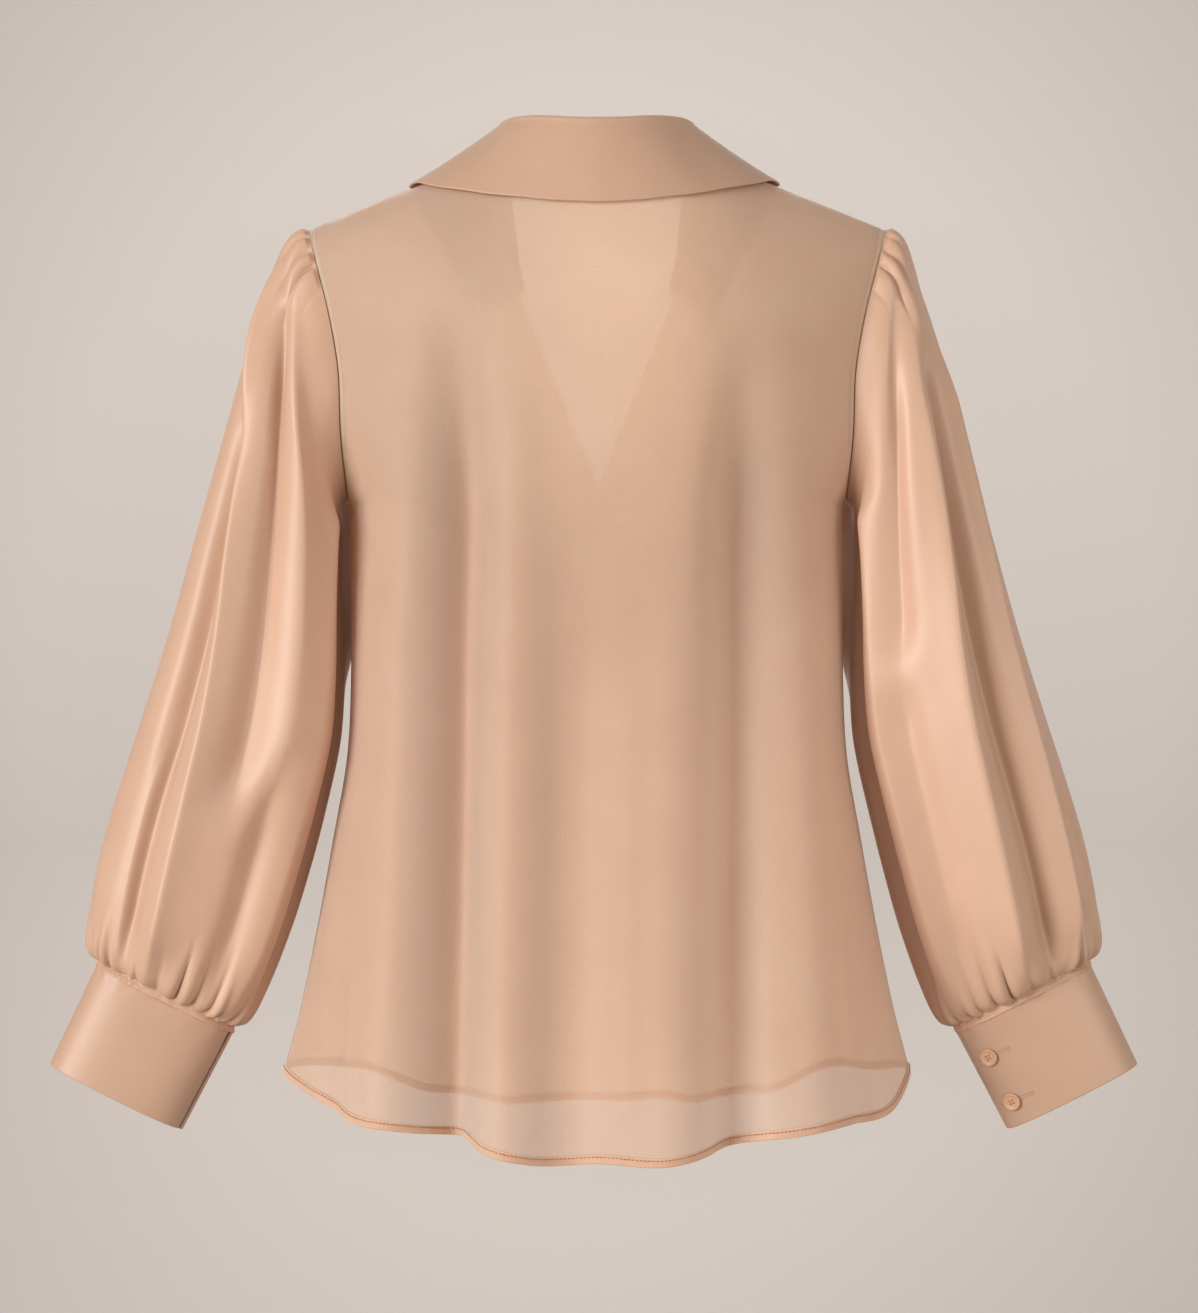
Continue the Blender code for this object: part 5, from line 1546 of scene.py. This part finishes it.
def hem_runs(panel):
    """The hem's stitch line, on the outside and on the inside of a panel."""
    outer, inner, marks = panel_surfaces(panel)
    lift = bpy.context.scene.blouse_stitches.width * HEM_STITCH_LIFT
    row = int(np.argmin(np.abs(marks["hem_gap"][:, 0] - HEM_DEPTH * HEM_STITCH_PLACE)))
    out = unit(outer[row] - inner[row])
    return [(outer[row] + out * lift, out), (inner[row] - out * lift, -out)]


def cuff_run(side, along, angle, lift, far_lift):
    """A line on a cuff and the outward direction at each of its points."""
    line = cuff_point(side, along, angle, lift)
    out = cuff_point(side, along, angle, far_lift) - line
    return line * mirrored(side), out * mirrored(side)


def cuff_runs(side):
    """The edge stitching of a cuff: under the seam, and down its lapped end."""
    lap = CUFF_LAPS[side]
    stitches = bpy.context.scene.blouse_stitches
    edge = stitches.edge / CUFF_LENGTH
    lift = CUFF_LIFT + stitches.width * CUFF_STITCH_LIFT
    wound = np.linspace(CUFF_STITCH_FROM, 360 - lap.overlap * 0.2, 240)
    lifts = lap_lift(lap, wound) + stitches.width * CUFF_STITCH_LIFT
    down = np.linspace(edge, 1 - edge, 30)
    return [cuff_run(side, edge, lap.end_angle + lap.turn * wound, lifts, lifts + 1),
            cuff_run(side, down, lap.end_angle + lap.turn * CUFF_STITCH_FROM, lift, lift + 1)]


def buttonhole_runs(side, number):
    """The two beaded lips of a buttonhole and the bar at each of its ends."""
    lap = CUFF_LAPS[side]
    along = BUTTON_PLACES[number - 1] / CUFF_LENGTH
    degrees = np.degrees(BUTTONHOLE_LENGTH / 2 / (CUFF_HALF_WIDTH[0] * BUTTONHOLE_BEND))
    shift = np.degrees(BUTTONHOLE_SHIFT / (CUFF_HALF_WIDTH[0] * BUTTONHOLE_BEND)) * lap.turn
    angles = lap.button_angle + shift + np.linspace(-degrees, degrees, 30)
    lips = [along + offset / CUFF_LENGTH for offset in (-BUTTONHOLE_HALF_WIDTH, BUTTONHOLE_HALF_WIDTH)]
    bar = along + np.linspace(-1, 1, 7) * BUTTONHOLE_HALF_WIDTH / CUFF_LENGTH
    runs = [cuff_run(side, lip, angles, CUFF_LIFT + LIP_LIFT, CUFF_LIFT + 1) for lip in lips]
    ends = (angles[0], angles[-1])
    return runs + [cuff_run(side, bar, end, CUFF_LIFT + BAR_LIFT, CUFF_LIFT + 1) for end in ends]


class BLOUSE_OT_stitching(bpy.types.Operator):
    """Sew the hems, the cuffs' edges and the buttonholes"""

    bl_idname = "blouse.stitching"
    bl_label = "Stitching"

    def execute(self, context):
        stitches, colours = context.scene.blouse_stitches, context.scene.blouse_colours
        dark = sewing_thread("hem thread", tuple(colours.hem_thread))
        pale = sewing_thread("cuff thread", tuple(colours.thread))
        for seed, panel in enumerate((BACK, FRONT), start=3):
            sew("hem_stitches_" + panel.name, hem_runs(panel), dark, "sheer_crepe",
                stitches.pitch, stitches.length, stitches.width * HEM_STITCH_WIDER, seed)
        for seed, side in enumerate(("left", "right"), start=11):
            finer = [size * CUFF_STITCH_FINER for size in (stitches.pitch, stitches.length, stitches.width)]
            sew("cuff_stitches_" + side, cuff_runs(side), pale, "satin_crepe", *finer, seed)
            for number in (1, 2):
                sew(f"buttonhole_{side}_{number}", buttonhole_runs(side, number), pale, "satin_crepe",
                    *BUTTONHOLE_STITCH, seed + BUTTONHOLE_SEED_STEP * number)
        return {"FINISHED"}


# ---------------------------------------- stage
def bowl_mesh():
    """A floor that curves up into a wall all round."""
    profile = [(0.0, 0.0), (BOWL_FLAT_RADIUS * 0.5, 0.0), (BOWL_FLAT_RADIUS, 0.0)]
    for bend in np.linspace(0, math.pi / 2, 25)[1:]:
        out, up = BOWL_BEND_RADIUS * math.sin(bend), BOWL_BEND_RADIUS * (1 - math.cos(bend))
        profile.append((BOWL_FLAT_RADIUS + out, up))
    profile.append((BOWL_FLAT_RADIUS + BOWL_BEND_RADIUS, BOWL_HEIGHT))
    sides = BOWL_SIDES
    turns = np.arange(sides) * math.tau / sides
    points = [(0.0, 0.0, FLOOR_Z)]
    for radius, height in profile[1:]:
        points.extend((radius * math.cos(t), radius * math.sin(t), FLOOR_Z + height) for t in turns)
    faces = [(0, 1 + side, 1 + (side + 1) % sides) for side in range(sides)]
    for ring in range(len(profile) - 2):
        low, high = 1 + ring * sides, 1 + (ring + 1) * sides
        around = [(side, (side + 1) % sides) for side in range(sides)]
        faces.extend((low + here, high + here, high + after, low + after) for here, after in around)
    mesh = bpy.data.meshes.new("studio_floor")
    mesh.from_pydata(points, [], faces)
    mesh.shade_smooth()
    return mesh


def floor_paint():
    """Pale matt paint with painted shade and light on the wall behind the blouse, which a camera under the
    floor sees through.
    """
    colour = tuple(bpy.context.scene.blouse_colours.stage)
    material, tree, shader = new_material("studio paint")
    parts = shader_node(tree, "ShaderNodeSeparateXYZ")
    tree.links.new(object_place(tree), parts.inputs[0])
    far = maths(tree, "MAXIMUM", maths(tree, "SUBTRACT", CAMERA_PLACE[1], parts.outputs["Y"]), 1.0)
    up = maths(tree, "DIVIDE", maths(tree, "SUBTRACT", parts.outputs["Z"], CAMERA_PLACE[2]), far)
    aside = maths(tree, "DIVIDE", parts.outputs["X"], far)
    squares = maths(tree, "MULTIPLY", up, up), maths(tree, "MULTIPLY", aside, aside)
    reach = maths(tree, "POWER", maths(tree, "ADD", *squares), 0.5)
    # Painted shade: the wall darkens towards the corners of the camera's view.
    rim = ramp(tree, reach, colour, shade_of(colour, SHADE_DEPTH), SHADE_FROM, SHADE_TO)
    # Painted shade: darker on the side of the wall that the lamps light more.
    across = maths(tree, "ADD", maths(tree, "MULTIPLY", aside, 0.5 / SIDE_REACH), 0.5)
    grey = shade_of((1.0, 1.0, 1.0), SIDE_DARK), shade_of((1.0, 1.0, 1.0), SIDE_PALE)
    side = ramp(tree, across, *grey, 0.0, 1.0)
    # Painted light: the foot is paler, where the floor's bend takes less lamp light.
    foot = shader_node(tree, "ShaderNodeVectorMath", operation="SCALE")
    tree.links.new(side, foot.inputs[0])
    lower = ranged(tree, up, (FOOT_TO, FOOT_FROM), (FOOT_PALE, 1.0), "LINEAR")
    tree.links.new(lower, foot.inputs["Scale"])
    shaded = mixed(tree, "MULTIPLY", 1.0, rim, foot.outputs[0])
    # The painted shade and light stay on the wall behind the blouse; the rest of the bowl is one plain tone.
    shown = ranged(tree, parts.outputs["Y"], (PLAIN_FROM, SHADED_FROM), (0.0, 1.0))
    painted = mixed(tree, "MIX", shown, shade_of(colour, PLAIN_DEPTH), shaded)
    tree.links.new(painted, shader.inputs["Base Color"])
    finish_with(shader, Roughness=0.9, Specular_IOR_Level=0.1)
    end = shader.outputs[0].links[0].to_node
    clear = shader_node(tree, "ShaderNodeBsdfTransparent")
    one_way = shader_node(tree, "ShaderNodeMixShader")
    tree.links.new(shader_node(tree, "ShaderNodeNewGeometry").outputs["Backfacing"], one_way.inputs[0])
    tree.links.new(shader.outputs[0], one_way.inputs[1])
    tree.links.new(clear.outputs[0], one_way.inputs[2])
    tree.links.new(one_way.outputs[0], end.inputs["Surface"])
    return material


def far_lamp(name, towards, softness, strength):
    """A lamp so far away that it lights the blouse and the wall behind it alike."""
    lamp = bpy.data.lights.new(name, "SUN")
    lamp.angle = math.radians(softness)
    lamp.energy = strength
    lamp.color = LAMP_COLOUR
    thing = bpy.data.objects.new(name, lamp)
    bpy.context.scene.collection.objects.link(thing)
    thing.rotation_euler = Vector(towards).to_track_quat("Z", "Y").to_euler()


class BLOUSE_OT_stage(bpy.types.Operator):
    """Make the pale floor, the soft light and the camera"""

    bl_idname = "blouse.stage"
    bl_label = "Stage"

    def execute(self, context):
        scene = context.scene
        floor = bpy.data.objects.new("studio_floor", bowl_mesh())
        floor.data.materials.append(floor_paint())
        floor.visible_shadow = False  # the lamps stand outside the wall
        scene.collection.objects.link(floor)
        light = scene.blouse_light
        far_lamp("key_light", KEY_FROM, light.softness, light.key)
        far_lamp("fill_light", FILL_FROM, light.softness, light.fill)
        far_lamp("front_light", FRONT_FROM, light.softness, light.front)
        world = bpy.data.worlds.new("studio")
        world.use_nodes = True
        sky = world.node_tree.nodes["Background"]
        sky.inputs["Color"].default_value = SKY_COLOUR
        sky.inputs["Strength"].default_value = light.sky
        scene.world = world
        scene.view_settings.view_transform = "Standard"
        camera = bpy.data.objects.new("camera", bpy.data.cameras.new("camera"))
        camera.data.lens = CAMERA_LENS
        camera.data.sensor_width = CAMERA_SENSOR
        camera.data.clip_end = 50.0
        camera.location = CAMERA_PLACE
        camera.rotation_euler = (math.pi / 2, 0.0, math.pi)
        scene.collection.objects.link(camera)
        scene.camera = camera
        return {"FINISHED"}


# ---------------------------------------- settings and panel
class BlouseCloth(bpy.types.PropertyGroup):
    """Thicknesses and weave of the cloth."""

    shell: FloatProperty(
        name="Cloth", description="Thickness of one layer", default=0.0006, unit="LENGTH")
    hem: FloatProperty(
        name="Hem", description="Thickness of the rolled hem", default=0.0019, unit="LENGTH")
    collar: FloatProperty(
        name="Collar", description="Thickness of the lined collar", default=0.0015, unit="LENGTH")
    cuff: FloatProperty(
        name="Cuff", description="Thickness of the lined cuffs", default=0.0012, unit="LENGTH")
    grain_pitch: FloatProperty(
        name="Grain", description="Size of the crepe's grain", default=0.0011, unit="LENGTH")
    grain_depth: FloatProperty(
        name="Grain depth", description="Height of the grain", default=0.00012, unit="LENGTH")
    seam_width: FloatProperty(
        name="Seams", description="Width of the French seams", default=0.0035, unit="LENGTH")
    glow_depth: FloatProperty(
        name="Glow", description="How deep light soaks in", default=0.0050, unit="LENGTH")
    sheer_opacity: FloatProperty(
        name="Opacity", description="How much of what is behind one sheer layer it hides",
        default=0.76, min=0, max=1)
    shoulder_opacity: FloatProperty(
        name="Shoulder opacity", description="The same round the shoulders", default=0.88, min=0, max=1)


class BlouseColours(bpy.types.PropertyGroup):
    """Colours of the cloth, thread, buttons and floor."""

    crepe: FloatVectorProperty(
        name="Crepe", description="Collar, sleeves and cuffs", subtype="COLOR", size=4,
        default=(0.58, 0.366, 0.254, 1))
    sheer: FloatVectorProperty(
        name="Sheer crepe", description="Back and front", subtype="COLOR", size=4,
        default=(0.735, 0.442, 0.324, 1))
    thread: FloatVectorProperty(
        name="Thread", description="Cuffs, buttons", subtype="COLOR", size=4,
        default=(0.60, 0.36, 0.24, 1))
    hem_thread: FloatVectorProperty(
        name="Hem thread", description="Stitch line of the hem", subtype="COLOR", size=4,
        default=(0.37, 0.175, 0.10, 1))
    button: FloatVectorProperty(
        name="Buttons", description="Cast resin", subtype="COLOR", size=4, default=(0.64, 0.37, 0.225, 1))
    stage: FloatVectorProperty(
        name="Floor", description="Floor and wall", subtype="COLOR", size=4,
        default=(0.595, 0.556, 0.525, 1))


class BlouseStitches(bpy.types.PropertyGroup):
    """Sizes of the stitches."""

    pitch: FloatProperty(name="Pitch", description="From stitch to stitch", default=0.0027, unit="LENGTH")
    length: FloatProperty(name="Length", description="Length of a stitch", default=0.0019, unit="LENGTH")
    width: FloatProperty(
        name="Width", description="Thickness of the thread", default=0.0005, unit="LENGTH")
    edge: FloatProperty(
        name="From edge", description="From a cuff's edge to its stitches", default=0.0016, unit="LENGTH")
    unevenness: FloatProperty(
        name="Unevenness", description="How much stitches differ", default=0.15, min=0, max=1)


class BlouseLight(bpy.types.PropertyGroup):
    """Strengths of the studio's lights."""

    key: FloatProperty(name="Key", description="Strength of the main light", default=3.28)
    fill: FloatProperty(name="Fill", description="Strength of the light from the other side", default=1.0)
    front: FloatProperty(
        name="Front", description="Strength of the light on the blouse's front", default=1.7)
    softness: FloatProperty(
        name="Softness", description="How wide each light looks, in degrees", default=32.0)
    sky: FloatProperty(name="Sky", description="Strength of the light from all round", default=0.15)


class BLOUSE_PT_panel(bpy.types.Panel):
    """Lists the blouse's pieces in the order in which they are made"""

    bl_idname = "BLOUSE_PT_panel"
    bl_label = "Blouse"
    bl_space_type = "VIEW_3D"
    bl_region_type = "UI"
    bl_category = "Blouse"

    def draw(self, context):
        for group in SETTINGS:
            settings = getattr(context.scene, group)
            for name in settings.bl_rna.properties.keys():
                if name not in ("rna_type", "name"):
                    self.layout.prop(settings, name)
        for operator in OPERATORS:
            self.layout.operator(operator.bl_idname)


SETTINGS = {
    "blouse_cloth": BlouseCloth,
    "blouse_colours": BlouseColours,
    "blouse_stitches": BlouseStitches,
    "blouse_light": BlouseLight,
}
OPERATORS = (
    BLOUSE_OT_body_panels,
    BLOUSE_OT_collar,
    BLOUSE_OT_sleeves,
    BLOUSE_OT_cuffs,
    BLOUSE_OT_buttons,
    BLOUSE_OT_stitching,
    BLOUSE_OT_stage,
)


def register():
    for group in (*SETTINGS.values(), *OPERATORS, BLOUSE_PT_panel):
        bpy.utils.register_class(group)
    for name, group in SETTINGS.items():
        setattr(bpy.types.Scene, name, PointerProperty(type=group))


def unregister():
    for name in SETTINGS:
        delattr(bpy.types.Scene, name)
    for group in reversed((*SETTINGS.values(), *OPERATORS, BLOUSE_PT_panel)):
        bpy.utils.unregister_class(group)


def main():
    register()
    bpy.ops.blouse.body_panels()
    bpy.ops.blouse.collar()
    bpy.ops.blouse.sleeves()
    bpy.ops.blouse.cuffs()
    bpy.ops.blouse.buttons()
    bpy.ops.blouse.stitching()
    bpy.ops.blouse.stage()


if __name__ == "__main__":
    main()
